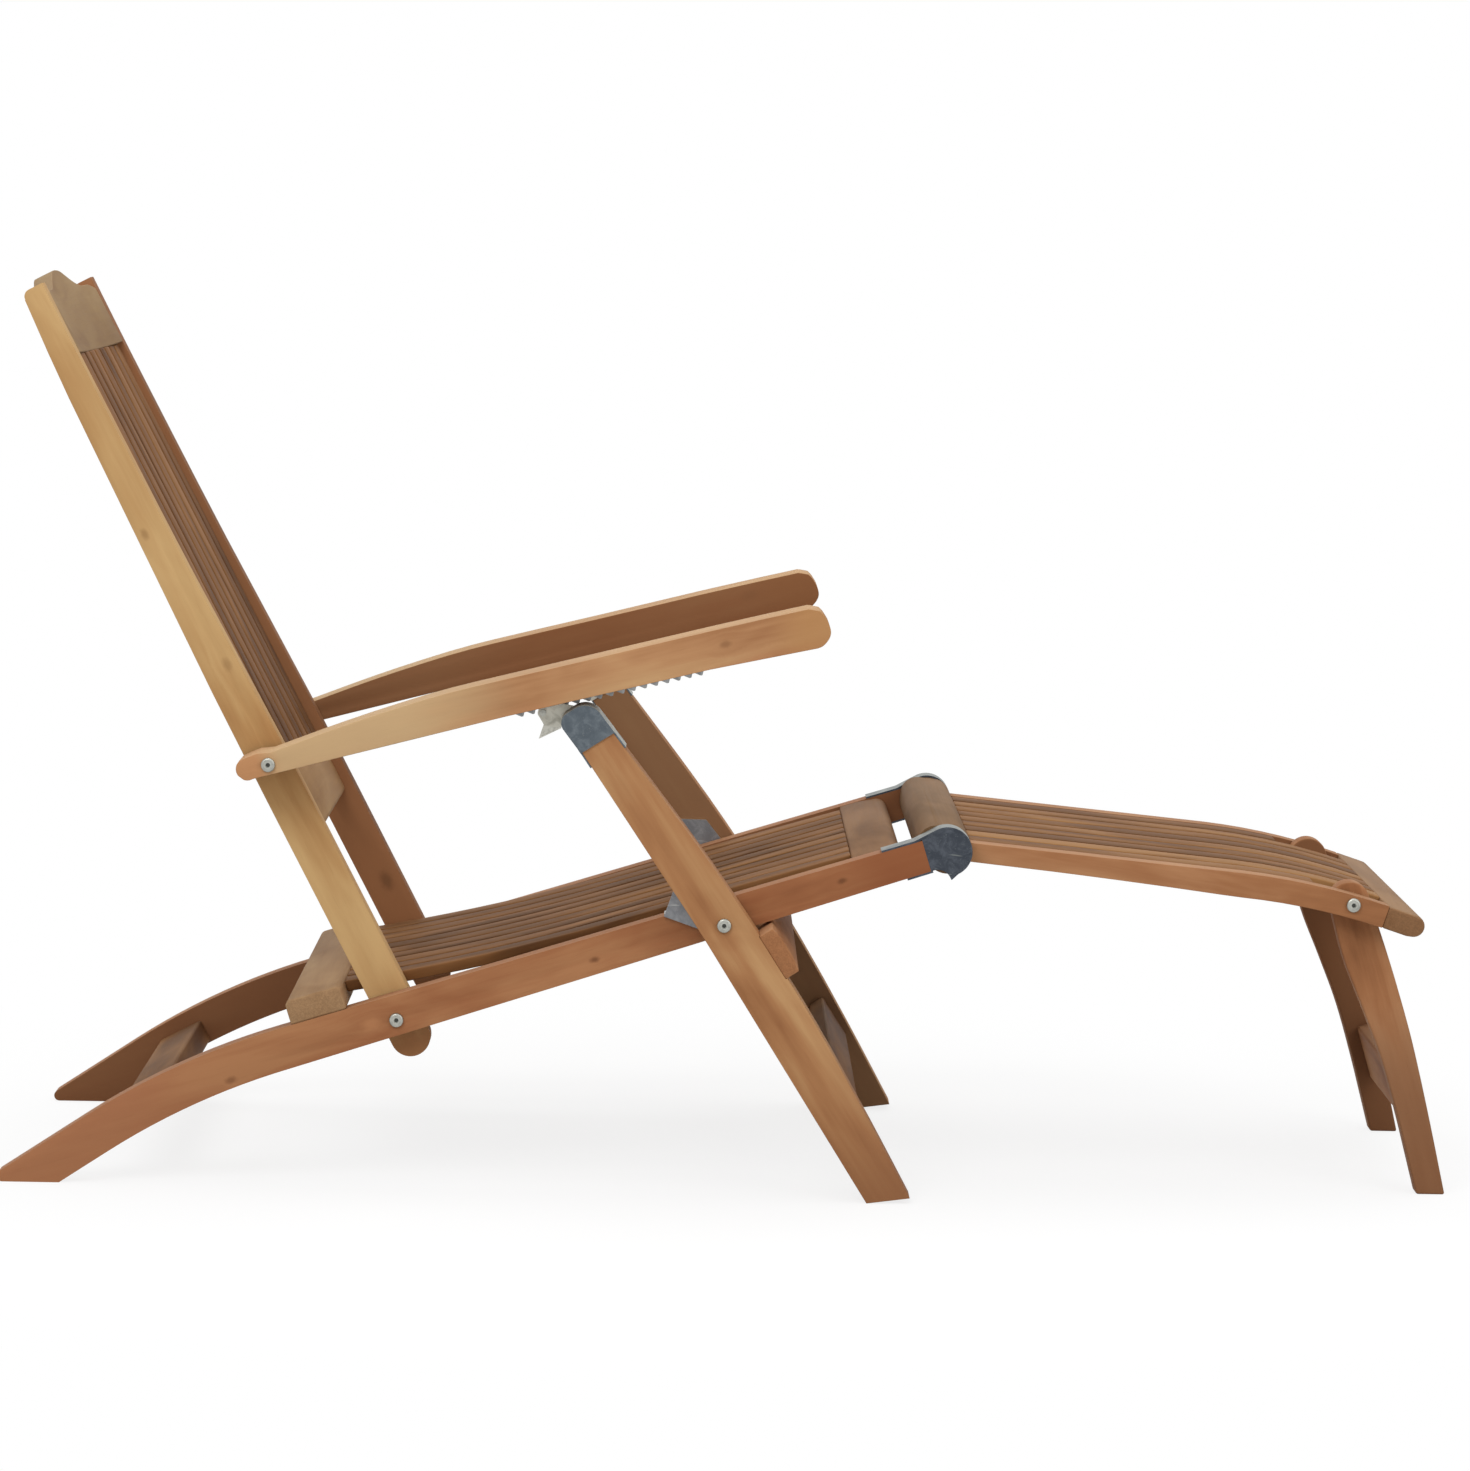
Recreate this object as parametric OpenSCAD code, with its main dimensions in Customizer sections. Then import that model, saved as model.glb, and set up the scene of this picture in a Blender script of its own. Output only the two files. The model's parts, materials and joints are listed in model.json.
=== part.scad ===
// Folding steamer chair in teak, with a slatted seat, a reclining back and a foot rest.
// X runs towards the foot end, Y across the chair and Z up. The origin is on the floor, under the
// middle of the chair. Most pieces are side profiles in the XZ plane with a thickness along Y.

/* [Chair] */
// Width over the outer faces of the two front legs
chair_w = 588; // [570:1:606]
// Height of the top edge of the seat rails at their front end
seat_front_h = 378; // [372:1:384]
// X of the front end of the seat rails
seat_front_x = 201; // [195:1:207]
// Slope of the seat rails
seat_tilt = 17.4; // [17:0.1:17.8]

/* [Seat frame] */
// Thickness of the seat rails
rail_t = 27; // [24:0.5:30]
// Length of the straight part of the seat rails
rail_straight = 703; // [698:1:710]
// Radius of the bend that leads to the rear feet
rail_bend_r = 800; // [780:5:820]
// Slope of the rear feet
rail_foot_tilt = 33.6; // [32:0.1:35]
// Depth of the rails at the front end
rail_front_d = 33.5; // [32:0.5:35]
// Depth of the rails from the bend to the foot
rail_rear_d = 44; // [42:0.5:46]
// Radius of the rounded toe of the rear feet
rail_toe_r = 6; // [4:0.5:8]
// Width of the cross rail behind the back
seat_rear_w = 61; // [56:1:64]
// Height of the cross rail behind the back
seat_rear_h = 26; // [24:0.5:28]
// Distance of that cross rail from the front end of the rails
seat_rear_at = 629; // [626:1:634]
// Width of the cross rail at the front of the seat
seat_front_w = 52; // [46:1:56]
// Height of the cross rail at the front of the seat
seat_front_t = 28; // [24:0.5:30]
// Distance of that cross rail from the front end of the rails
seat_front_at = 24.5; // [24:0.5:28]
// Width of the stretcher between the rear feet
foot_bar_w = 52; // [46:1:56]
// Thickness of the stretcher between the rear feet
foot_bar_t = 26; // [22:0.5:27]
// Distance of that stretcher from the start of the bend
foot_bar_at = 148; // [140:1:156]
// Depth of that stretcher below the top of the rails
foot_bar_drop = 16; // [14:0.5:17]

/* [Slats] */
// Number of slats in the seat
seat_slat_n = 10; // [9:1:11]
// Thickness of the seat slats
seat_slat_t = 12; // [10:0.5:13]
// Rise of the seat slats over the rails at the cross rail behind the back
seat_slat_rise = 22; // [18:0.5:25]
// Gap between two seat slats
seat_slat_gap = 7.8; // [5:0.2:10]
// Clearance between the outer seat slats and the uprights of the back
seat_slat_clear = 1.4; // [1:0.1:3]
// Number of slats in the back
back_slat_n = 9; // [8:1:10]
// Thickness of the back slats
back_slat_t = 12; // [10:0.5:14]
// Number of slats in the foot rest
foot_slat_n = 9; // [8:1:10]
// Thickness of the foot rest slats
foot_slat_t = 10; // [8:0.5:11]
// Gap between two slats of the back or the foot rest
slat_gap = 8; // [5:0.2:10]
// Gap beside the outer slats of the back or the foot rest
slat_side = 4.5; // [3:0.5:6]

/* [Back] */
// Distance of the back pivot from the front end of the seat rails
back_at = 582.4; // [578:0.2:586]
// Depth of the back pivot below the top of the seat rails
back_drop = 26; // [24:0.5:28]
// Lean of the back from the vertical
back_lean = 27.6; // [26:0.1:28.5]
// Length of the uprights above the back pivot
upright_len = 852; // [830:1:870]
// Thickness of the uprights
upright_t = 25; // [22:0.5:27]
// Front edge of the uprights from the pivot line, at the pivot
upright_front = 22.5; // [20:0.5:24]
// Rear edge of the uprights from the pivot line, at the pivot
upright_rear = 19.5; // [18:0.5:21]
// Width of the uprights at their top
upright_top_w = 23.5; // [20:0.5:28]
// Gap between the rails and the uprights, filled by a washer
upright_gap = 1.5; // [1:0.1:2.5]
// Height of the crest rail at its shoulders
crest_end_h = 73; // [66:1:80]
// Distance of these shoulders below the tops of the uprights
crest_below = 7; // [5:0.5:10]
// Rise of the crest rail in the middle over its shoulders
crest_rise = 23; // [10:1:26]
// Depth of the hollow in the front of the crest rail
crest_bow = 8; // [5:0.5:9]
// Thickness of the crest rail
crest_t = 22; // [18:0.5:24]
// Height of the lower edge of the lower cross rail over the pivot
low_rail_at = 206; // [200:1:230]
// Height of the lower cross rail of the back
low_rail_h = 76; // [60:1:84]
// Thickness of the lower cross rail of the back
low_rail_t = 22; // [18:0.5:26]
// Distance of the slats and the lower cross rail behind the front of the uprights
back_recess = 11; // [8:0.5:13]

/* [Arms] */
// Distance of the arm pivot from the back pivot
arm_at = 302.3; // [299:0.5:306]
// Offset of the arm pivot in front of the pivot line
arm_fore = 6.8; // [5:0.2:8]
// Slope of the underside of the arms
arm_tilt = 14; // [13.8:0.1:15]
// Length of the arms in front of their pivot
arm_len = 600; // [590:1:615]
// Length of the arms behind their pivot
arm_tail = 34; // [28:1:40]
// Width of the arms
arm_w = 58; // [50:1:64]
// Depth of the underside of the arms below their pivot, at their ends
arm_under = 10.5; // [9:0.5:11]
// Rise of the underside in the middle, where the racks sit
arm_arch = 4; // [2:0.5:5]
// Height of the arms at their rear end
arm_rear_h = 24.5; // [22:0.5:27]
// Height of the arms at their highest point
arm_top_h = 45; // [40:0.5:48]
// Distance of the arms inside the outer faces of the legs
arm_inset = 8; // [4:0.5:12]
// Start of the toothed rack from the arm pivot
rack_at = 258; // [254:1:262]
// Number of teeth of the rack
rack_teeth = 17; // [15:1:18]
// Pitch of the teeth
rack_pitch = 12; // [11:0.5:12.5]
// Depth of the teeth
rack_tooth = 5.2; // [3:0.1:5.4]
// Thickness of the strip that carries the teeth
rack_strip = 2; // [1:0.1:2.4]
// Width of the rack
rack_w = 16; // [12:0.5:18]

/* [Front legs] */
// Thickness of the front legs
leg_t = 38; // [34:0.5:42]
// Distance of the leg pivot from the front end of the seat rails
leg_at = 222.6; // [218:0.2:226]
// Depth of the leg pivot below the top of the seat rails
leg_drop = 21.4; // [20:0.2:23]
// Slope of the front legs
leg_slope = 57; // [56.5:0.1:57.5]
// Length of the front legs from the pivot to the centre of the round top
leg_up = 254.5; // [252:0.5:256]
// Radius of the rear corner of the heads of the legs
leg_head_r = 10; // [8:0.5:14]
// Rear edge of the legs from the pivot line, at the pivot
leg_rear = 25; // [23:0.5:27]
// Front edge of the legs from the pivot line, at the pivot
leg_front = 24.7; // [23:0.1:26]
// Run-out of the rear edge of the legs towards their ends
leg_flare = 4.4; // [3:0.1:5]
// Draw-in of the front edge of the legs towards their heads
leg_taper = 17.6; // [15:0.1:19]
// Slope of the sole of the front legs
leg_sole = 7.7; // [0:0.1:10]
// Gap between the legs and the seat rails
leg_gap = 4; // [3.5:0.1:5]
// Thickness of the stop plates on the legs
stop_t = 3; // [2:0.1:3.2]
// Thickness of the sheet of the leg caps
cap_t = 1.6; // [1:0.1:2]
// Length of the stretcher faces along the leg
leg_bar_w = 53; // [46:1:56]
// Thickness of the stretchers of the legs
leg_bar_t = 19; // [16:0.5:20]
// Distance of the upper stretcher from the leg pivot
leg_bar_high = 29; // [28.5:0.5:34]
// Distance of the lower stretcher from the leg pivot
leg_bar_low = 199; // [190:1:210]

/* [Foot rest] */
// Distance of the hinge line in front of the seat rails
hinge_fore = 22.5; // [22:0.1:24]
// Depth of the hinge line below the top of the seat rails
hinge_drop = 18.6; // [17:0.1:20]
// Radius of the round ends of the hinge bar
hinge_r = 23.5; // [22.5:0.1:25]
// Slope of the straight part of the foot rest
rest_tilt = 5.4; // [4.5:0.1:6]
// Length of the foot rest from the hinge line to its bend
rest_straight = 310; // [300:1:320]
// Radius of the bend of the foot rest
rest_bend_r = 735; // [720:5:780]
// Length of the bent part of the foot rest
rest_bend_len = 163.5; // [162:0.5:168]
// Thickness of the rails of the foot rest
rest_t = 26; // [23:0.5:28]
// Depth of the rails of the foot rest
rest_d = 26; // [24:0.5:27]
// Height of their top edge over the hinge line
rest_top = 8.7; // [8:0.1:10]
// Length of the nose rail
nose_len = 43.5; // [38:0.5:50]
// Thickness of the nose rail
nose_t = 24; // [22:0.5:25]
// Distance of the leg pivot of the foot rest along its rails
prop_at = 436.3; // [432:0.1:440]
// Depth of that pivot below the top of the rails
prop_drop = 10.2; // [9:0.2:12]
// Thickness of the legs of the foot rest
prop_t = 25.5; // [22:0.5:27]
// Radius of the round top of these legs
prop_r = 21; // [20:0.5:22]
// Depth of the hollow in the rear edge of these legs
prop_hollow = 10; // [6:0.5:11]
// Draw-in of the front edge of these legs at the foot
prop_taper = 6; // [3:0.5:8]
// Slope of these legs
prop_slope = 73.3; // [72.5:0.1:74]
// Gap between these legs and the rails of the foot rest, filled by a washer
prop_gap = 2; // [1:0.1:3]
// Length of the stretcher face along these legs
prop_bar_w = 62; // [50:1:70]
// Thickness of the stretcher of these legs
prop_bar_t = 16; // [12:0.5:18]
// Distance of that stretcher from the pivot
prop_bar_at = 203; // [190:1:210]

/* [Fasteners] */
// Diameter of the pivot bolts
bolt_d = 8; // [6:0.5:9]
// Diameter of their heads
bolt_head_d = 15; // [14:0.5:17]
// Height of their heads
bolt_head_h = 4; // [3:0.1:5]
// Width across the flats of the hexagon socket
bolt_hex = 5; // [4:0.1:5.5]
// Diameter of the washers between the wooden pieces
washer_d = 20; // [17:0.5:24]
// Diameter of the catch pins
pin_d = 4; // [3:0.1:4.6]

/* [Hidden] */
$fn = 64;
teak = "#b27a4c";
teak_dark = "#8f6443";
zinc = "#8d979b";
steel = "#b9bcbd";
// Running clearance of a bolt in its bore, on the radius
run = 0.05;
// Clearance between pieces that move past each other
slack = 0.5;
// Clearance between a sheet fitting and the wood under it
fit = 0.2;
// Bevel along the edges of the heavier cross pieces
ease = 4;
big = 2000;

// Direction at an angle, its left normal, and a point in a tilted frame
function dir(a) = [cos(a), sin(a)];
function left(a) = [-sin(a), cos(a)];
function at(p, a, u, w) = p + u * dir(a) + w * left(a);
// Smooth curve through a few control points
function cr(a, b, c, d, t) = 0.5 * (2 * b + (c - a) * t + (2 * a - 5 * b + 4 * c - d) * t * t
    + (3 * b - a - 3 * c + d) * t * t * t);
function smooth(p, n = 6) = [
    for (i = [0 : len(p) - 2])
        for (k = [0 : (i == len(p) - 2 ? n : n - 1)])
            cr(p[max(i - 1, 0)], p[i], p[i + 1], p[min(i + 2, len(p) - 1)], k / n)
];
function flip(p) = [for (i = [len(p) - 1 : -1 : 0]) p[i]];
function arc(c, r, a0, a1, n = 10) = [for (i = [0 : n]) c + r * dir(a0 + (a1 - a0) * i / n)];
function deg(len, r) = len / r * 180 / PI;

// Layers across the chair, from the outside in
y_leg = chair_w / 2;
y_leg_in = y_leg - leg_t;
y_rail = y_leg_in - leg_gap;
y_rail_in = y_rail - rail_t;
y_up = y_rail_in - upright_gap;
y_up_in = y_up - upright_t;
y_rest = y_rail_in - upright_gap;
y_rest_in = y_rest - rest_t;
y_prop = y_rest_in - prop_gap;
y_prop_in = y_prop - prop_t;
y_arm = y_leg - arm_inset;
y_arm_in = y_arm - arm_w;
// Brackets on the leg caps, catches behind them, and racks inside the heads of the catch pins
ear_t = 2.4;
catch_t = 2.5;
y_ear = y_leg_in - fit;
y_catch = y_ear - ear_t - 0.3;
y_rack = y_catch - catch_t - 2.2;

// Pivots in the XZ plane
front_end = [seat_front_x, seat_front_h];
function on_seat(s, w) = at(front_end, seat_tilt, -s, w);
back_pivot = on_seat(back_at, -back_drop);
leg_pivot = on_seat(leg_at, -leg_drop);
hinge = on_seat(-hinge_fore, -hinge_drop);
back_dir = 90 + back_lean;
function on_back(v, n) = at(back_pivot, back_dir, v, -n);
arm_pivot = on_back(arm_at, arm_fore);
function on_arm(p, q) = at(arm_pivot, arm_tilt, p, q);
function on_leg(v, n) = at(leg_pivot, -leg_slope, v, n);
function on_rest(s, w) =
    s <= rest_straight
        ? at(hinge, -rest_tilt, s, w)
        : let (a = deg(s - rest_straight, rest_bend_r),
               c = at(hinge, -rest_tilt, rest_straight, rest_top - rest_bend_r))
          c + (rest_bend_r - rest_top + w) * dir(90 - rest_tilt - a);
prop_pivot = on_rest(prop_at, rest_top - prop_drop);
function on_prop(v, n) = at(prop_pivot, -prop_slope, v, n);

// A side profile given a thickness between two Y values
module slab(y0, y1) {
    translate([0, y1, 0])
        rotate([90, 0, 0])
            linear_extrude(y1 - y0)
                children();
}
// The same piece on the other side of the chair
module other() {
    mirror([0, 1, 0])
        children();
}
module both() {
    children();
    other()
        children();
}
// Round bar or bore across the chair at a point of the side view
module across(p, d, y0, y1) {
    translate([p.x, y1, p.y])
        rotate([90, 0, 0])
            cylinder(d = d, h = y1 - y0);
}
module floor_cut() {
    translate([-big / 2, -big / 2, -big])
        cube(big);
}
// Cross piece with eased edges: a rectangle in the tilted frame of its face
module bar_profile(p, a, u, w, r) {
    translate(p)
        rotate(a)
            union() {
                translate([r, 0])
                    square([u - 2 * r, w]);
                translate([0, r])
                    square([u, w - 2 * r]);
                for (x = [r, u - r], y = [r, w - r])
                    translate([x, y])
                        circle(r = r, $fn = 32);
            }
}
// Button head bolt along Y, with its head on the outer face at y1 and its end at y0
module bolt(p, y0, y1) {
    dome = bolt_head_h * 0.55;
    translate([p.x, y1, p.y])
        rotate([-90, 0, 0])
            difference() {
                union() {
                    translate([0, 0, y0 - y1])
                        cylinder(d = bolt_d - 2 * run, h = y1 - y0);
                    rotate_extrude()
                        polygon(concat(
                            [[0, 0], [bolt_head_d / 2, 0]],
                            [for (i = [0 : 6])
                                [bolt_head_d / 2 * (1 - 0.35 * pow(i / 6, 2)),
                                 bolt_head_h - dome + dome * sin(15 * i)]],
                            [[0, bolt_head_h]]));
                }
                translate([0, 0, bolt_head_h * 0.3])
                    cylinder(d = bolt_hex / cos(30), h = bolt_head_h, $fn = 6);
            }
}
module washer(p, y0, y1) {
    difference() {
        across(p, washer_d, y0, y1);
        across(p, bolt_d, y0 - 1, y1 + 1);
    }
}

// Seat frame
bend_span = rail_foot_tilt - seat_tilt;
bend_start = on_seat(rail_straight, 0);
bend_centre = on_seat(rail_straight, -rail_bend_r);
bend_end = bend_centre + rail_bend_r * left(rail_foot_tilt);
// Where the top and the bottom line of the foot meet the floor
toe_x = bend_end.x - bend_end.y / tan(rail_foot_tilt);
heel_x = toe_x + rail_rear_d / sin(rail_foot_tilt);
toe_c = [toe_x + rail_toe_r / tan(rail_foot_tilt / 2), rail_toe_r];
function on_bend(s, w) = bend_centre + (rail_bend_r + w) * left(seat_tilt + deg(s, rail_bend_r));

module rail_profile() {
    polygon(concat(
        [front_end, bend_start],
        arc(bend_centre, rail_bend_r, 90 + seat_tilt, 90 + rail_foot_tilt, 12),
        arc(toe_c, rail_toe_r, 90 + rail_foot_tilt, 270, 10),
        [[heel_x, 0]],
        arc(bend_centre, rail_bend_r - rail_rear_d, 90 + rail_foot_tilt, 90 + seat_tilt, 12),
        [on_seat(0, -rail_front_d)]));
}
module seat_rail() {
    difference() {
        slab(y_rail_in, y_rail)
            rail_profile();
        across(back_pivot, bolt_d, y_rail_in - 1, y_rail + 1);
        across(leg_pivot, bolt_d, leg_bolt_end, y_rail + 1);
        // Hollow end that clears the round end of the hinge bar
        across(hinge, 2 * (hinge_r + slack), y_rail_in - 1, y_rail - cup_t - cup_inset);
    }
}
module seat_rail_left() {
    color(teak)
        seat_rail();
}
module seat_rail_right() {
    color(teak)
        other()
            seat_rail();
}
module rear_foot_stretcher() {
    a = seat_tilt + deg(foot_bar_at, rail_bend_r);
    color(teak_dark)
        slab(-y_rail_in, y_rail_in)
            bar_profile(on_bend(foot_bar_at, -foot_bar_drop), 180 + a, foot_bar_w, foot_bar_t, 3);
}
module seat_rear_rail() {
    color(teak_dark)
        slab(-y_rail, y_rail)
            polygon([
                on_seat(seat_rear_at, 0), on_seat(seat_rear_at, seat_rear_h - ease),
                on_seat(seat_rear_at + ease, seat_rear_h),
                on_seat(seat_rear_at + seat_rear_w - ease, seat_rear_h),
                on_seat(seat_rear_at + seat_rear_w, seat_rear_h - ease),
                on_seat(seat_rear_at + seat_rear_w, 0)
            ]);
}
module seat_front_rail() {
    s = seat_front_at;
    e = seat_front_at + seat_front_w;
    r = 12;
    sag = 2;
    color(teak_dark)
        slab(-y_rail_in, y_rail_in)
            polygon(concat(
                [on_seat(e, -seat_front_t), on_seat(e, 0), on_seat(s + 2.5 * r, 0)],
                [for (i = [0 : 6]) on_seat(s + r - r * sin(15 * i), -r - sag + r * cos(15 * i))],
                [on_seat(s, -seat_front_t)]));
}

// Slats of the seat
seat_field = y_up_in - seat_slat_clear;
seat_slat_w = (2 * seat_field + seat_slat_gap) / seat_slat_n - seat_slat_gap;
slat_front = seat_front_at + seat_front_w;
slat_rear = seat_rear_at;
// Height of the dished seat over the rails, as a share of the rise at the rear
function dish(t) = t < 0.45 ? 0.12 * sin(t / 0.45 * 90) : 0.12 + 0.88 * pow((t - 0.45) / 0.55, 2);
function seat_line(w) = [
    for (i = [0 : 18])
        let (t = i / 18)
        on_seat(slat_front + t * (slat_rear - slat_front), seat_slat_rise * dish(t) + w)
];
module slat_row(n, w, gap) {
    for (i = [0 : n - 1])
        translate([0, (i - (n - 1) / 2) * (w + gap), 0])
            children();
}
module seat_slats() {
    color(teak_dark)
        slat_row(seat_slat_n, seat_slat_w, seat_slat_gap)
            slab(-seat_slat_w / 2, seat_slat_w / 2)
                polygon(concat(seat_line(0), flip(seat_line(-seat_slat_t))));
}

// Hinge cups on the front ends of the seat rails
cup_t = 2;
cup_r = hinge_r + slack + cup_t;
cup_strap = 44;
cup_foot = 26;
// Depth of the side plate inside the rim of the cup
cup_inset = 0.8;
// Where the strap along the top of the rail starts to rise to the rim
cup_lead = 6;
// Pointed lower tip of the cup, seen from the hinge line, and the hollow edge behind it
tip_a = -80;
tip_reach = 4;
cup_hollow = 14.5;
strap_a = seat_tilt + atan2(hinge_drop, -hinge_fore - cup_lead)
    - acos((hinge_r + slack) / norm([hinge_drop, hinge_fore + cup_lead]));
cup_mid = hinge_r + slack + cup_t / 2;
module cup_side() {
    // The plate starts at the end of the wooden rail
    polygon(concat(
        [on_seat(0, -rail_front_d), on_seat(0, 1.2 * cup_t)],
        arc(hinge, cup_mid, strap_a, tip_a + 30, 24),
        [hinge + (cup_r + tip_reach) * dir(tip_a)],
        arc(on_seat(-cup_inset * 4, -rail_front_d - cup_hollow), cup_hollow, seat_tilt, seat_tilt + 90, 12)));
}
module cup_rim() {
    // Sheet that runs round the end of the bar and back along the top of the rail
    polygon(concat(
        [on_seat(cup_lead, 0), on_seat(cup_strap, 0), on_seat(cup_strap, cup_t),
            on_seat(cup_lead + cup_t, cup_t)],
        arc(hinge, cup_r, strap_a, tip_a + 2, 32),
        arc(hinge, hinge_r + slack, tip_a + 2, strap_a, 32)));
}
module hinge_cup() {
    color(zinc) {
        slab(y_rail - cup_inset - cup_t, y_rail - cup_inset)
            cup_side();
        slab(y_rail_in, y_rail)
            cup_rim();
        slab(y_rail_in, y_rail)
            polygon([
                on_under(0, 0), on_under(cup_foot, 0), on_under(cup_foot, -cup_t),
                on_under(-cup_t, -cup_t), on_under(-cup_t, cup_t), on_seat(0, cup_t - rail_front_d)
            ]);
    }
}
// Point on the underside of the straight part of the rail
under_tilt = atan((rail_rear_d - rail_front_d) / rail_straight);
function on_under(s, w) = at(on_seat(0, -rail_front_d), seat_tilt + under_tilt, -s, w);
module hinge_cup_left() {
    hinge_cup();
}
module hinge_cup_right() {
    other()
        hinge_cup();
}

// Back
upright_low = 26;
low_r = (upright_front + upright_rear) / 2;
low_n = (upright_front - upright_rear) / 2;
front_rake = [0, 0, -4, -5, -4];
function upright_share(i) = [0, 0.37, 0.61, 0.86, 1][i];
upright_top_front = upright_front - 4;
function up_front(i) = [upright_share(i) * upright_len, upright_front + front_rake[i]];
function up_rear(i) = [
    upright_share(i) * upright_len,
    -upright_rear + (upright_top_front - upright_top_w + upright_rear) * upright_bow[i]
];
upright_bow = [0, 0, 0.2, 0.56, 1];
front_edge = smooth([for (i = [0 : 4]) up_front(i)]);
rear_edge = smooth([for (i = [0 : 4]) up_rear(i)]);
// Front edge of the uprights at a height, read off the same control points
function front_at(v) = lookup(v, [for (q = front_edge) [q.x, q.y]]);
module upright_profile() {
    top_r = 8;
    difference() {
        union() {
            polygon([for (q = concat(front_edge, flip(rear_edge))) on_back(q.x, q.y)]);
            polygon([for (q = [[-upright_low, low_n + low_r], [0, upright_front],
                [0, -upright_rear], [-upright_low, low_n - low_r]]) on_back(q.x, q.y)]);
            translate(on_back(-upright_low, low_n))
                circle(r = low_r);
        }
        // Rounded rear corner at the top
        translate(on_back(upright_len - top_r, upright_top_front - upright_top_w + top_r))
            rotate(back_dir)
                difference() {
                    square(2 * top_r);
                    circle(r = top_r, $fn = 32);
                }
    }
}
module upright() {
    difference() {
        slab(y_up_in, y_up)
            upright_profile();
        across(back_pivot, bolt_d, back_bolt_end, y_up + 1);
        across(arm_pivot, bolt_d, arm_bolt_end, y_up + 1);
    }
}
module upright_left() {
    color(teak)
        upright();
}
module upright_right() {
    color(teak)
        other()
            upright();
}
// Puts a shape drawn as [y, height over the pivot] into the plane of the back, n0 to n1 in front
module back_panel(n0, n1) {
    translate([back_pivot.x, 0, back_pivot.y])
        rotate([0, -back_lean, 0])
            translate([n0, 0, 0])
                rotate([90, 0, 90])
                    linear_extrude(n1 - n0)
                        children();
}
crest_top = upright_len - crest_below;
crest_low = crest_top - crest_end_h;
crest_front = front_at(crest_low + crest_end_h / 2);
// Half of the top edge: a broad hump, level shoulders and rounded ends
crest_edge = smooth([for (q = [
    [0, 1, 0], [0.15, 0.94, 0], [0.28, 0.68, 0], [0.38, 0.45, 0], [0.48, 0.24, 0], [0.58, 0.08, 0],
    [0.68, 0.01, 0], [0.82, 0, 0], [0.9, 0, 0.3], [0.955, 0, 0.6], [1, 0, 1]])
    [q.x * y_up_in, crest_top + crest_rise * q.y - crest_below * q.z]], 4);
module crest_rail() {
    w = y_up_in;
    bow_r = (w * w + crest_bow * crest_bow) / (2 * crest_bow);
    sweep = asin(w / bow_r);
    color(teak_dark)
        intersection() {
            back_panel(crest_front - crest_t - crest_bow, crest_front)
                polygon(concat(
                    [[-w, crest_low], [w, crest_low]],
                    flip(crest_edge),
                    [for (q = crest_edge) if (q.x > 0) [-q.x, q.y]]));
            // Hollow front and round rear face, drawn in plan
            translate([back_pivot.x, 0, back_pivot.y])
                rotate([0, -back_lean, 0])
                    translate([crest_front - crest_bow + bow_r, 0, 0])
                        linear_extrude(crest_top + 2 * crest_rise)
                            polygon(concat(
                                arc([0, 0], bow_r + crest_t, 180 - sweep, 180 + sweep, 16),
                                arc([0, 0], bow_r, 180 + sweep, 180 - sweep, 16)));
        }
}
panel_front = front_at(low_rail_at + low_rail_h) - back_recess;
module back_lower_rail() {
    r = 7;
    n1 = panel_front;
    n0 = panel_front - low_rail_t;
    v0 = low_rail_at;
    v1 = low_rail_at + low_rail_h;
    color(teak_dark)
        slab(-y_up_in, y_up_in)
            polygon([for (q = concat(
                [[v1, n0], [v1, n1]],
                [for (i = [0 : 8]) [v0 + r - r * sin(i * 11.25), n1 - r + r * cos(i * 11.25)]],
                [[v0, n0 + 2], [v0 + 2, n0]])) on_back(q.x, q.y)]);
}
back_slat_w = (2 * (y_up_in - slat_side) + slat_gap) / back_slat_n - slat_gap;
module back_slats() {
    v0 = low_rail_at + low_rail_h;
    color(teak_dark)
        slat_row(back_slat_n, back_slat_w, slat_gap)
            slab(-back_slat_w / 2, back_slat_w / 2)
                polygon([for (q = [[v0, panel_front], [crest_low, panel_front],
                    [crest_low, panel_front - back_slat_t], [v0, panel_front - back_slat_t]])
                    on_back(q.x, q.y)]);
}
back_bolt_end = y_up_in + 5;
module back_bolts() {
    color(steel)
        both()
            bolt(back_pivot, back_bolt_end, y_rail);
}
module back_washers() {
    color(steel)
        both()
            washer(back_pivot, y_up, y_rail_in);
}

// Arms with their racks
arm_nose_h = arm_under - 2;
arm_edge = smooth(concat(
    [[-arm_tail, -arm_under + 6], [-arm_tail, arm_rear_h - arm_under - 9],
     [-arm_tail + 5, arm_rear_h - arm_under - 2.5], [60, arm_rear_h - arm_under + 5]],
    [for (q = [[0.375, -11], [0.56, -1.5], [0.73, 0], [0.86, -1], [0.945, -3]])
        [arm_len * q.x, arm_top_h - arm_under + q.y]],
    [[arm_len - 9, arm_top_h - arm_under - 6.5], [arm_len - 1.6, arm_top_h / 2 - 6],
     [arm_len, arm_top_h / 2 - 17.5], [arm_len - 3.1, arm_nose_h - 11],
     [arm_len - 10.5, -arm_nose_h], [arm_len - 17, -arm_under + 0.4]]));
rack_end = rack_at + rack_teeth * rack_pitch;
arm_seat = arm_arch - arm_under;
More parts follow.
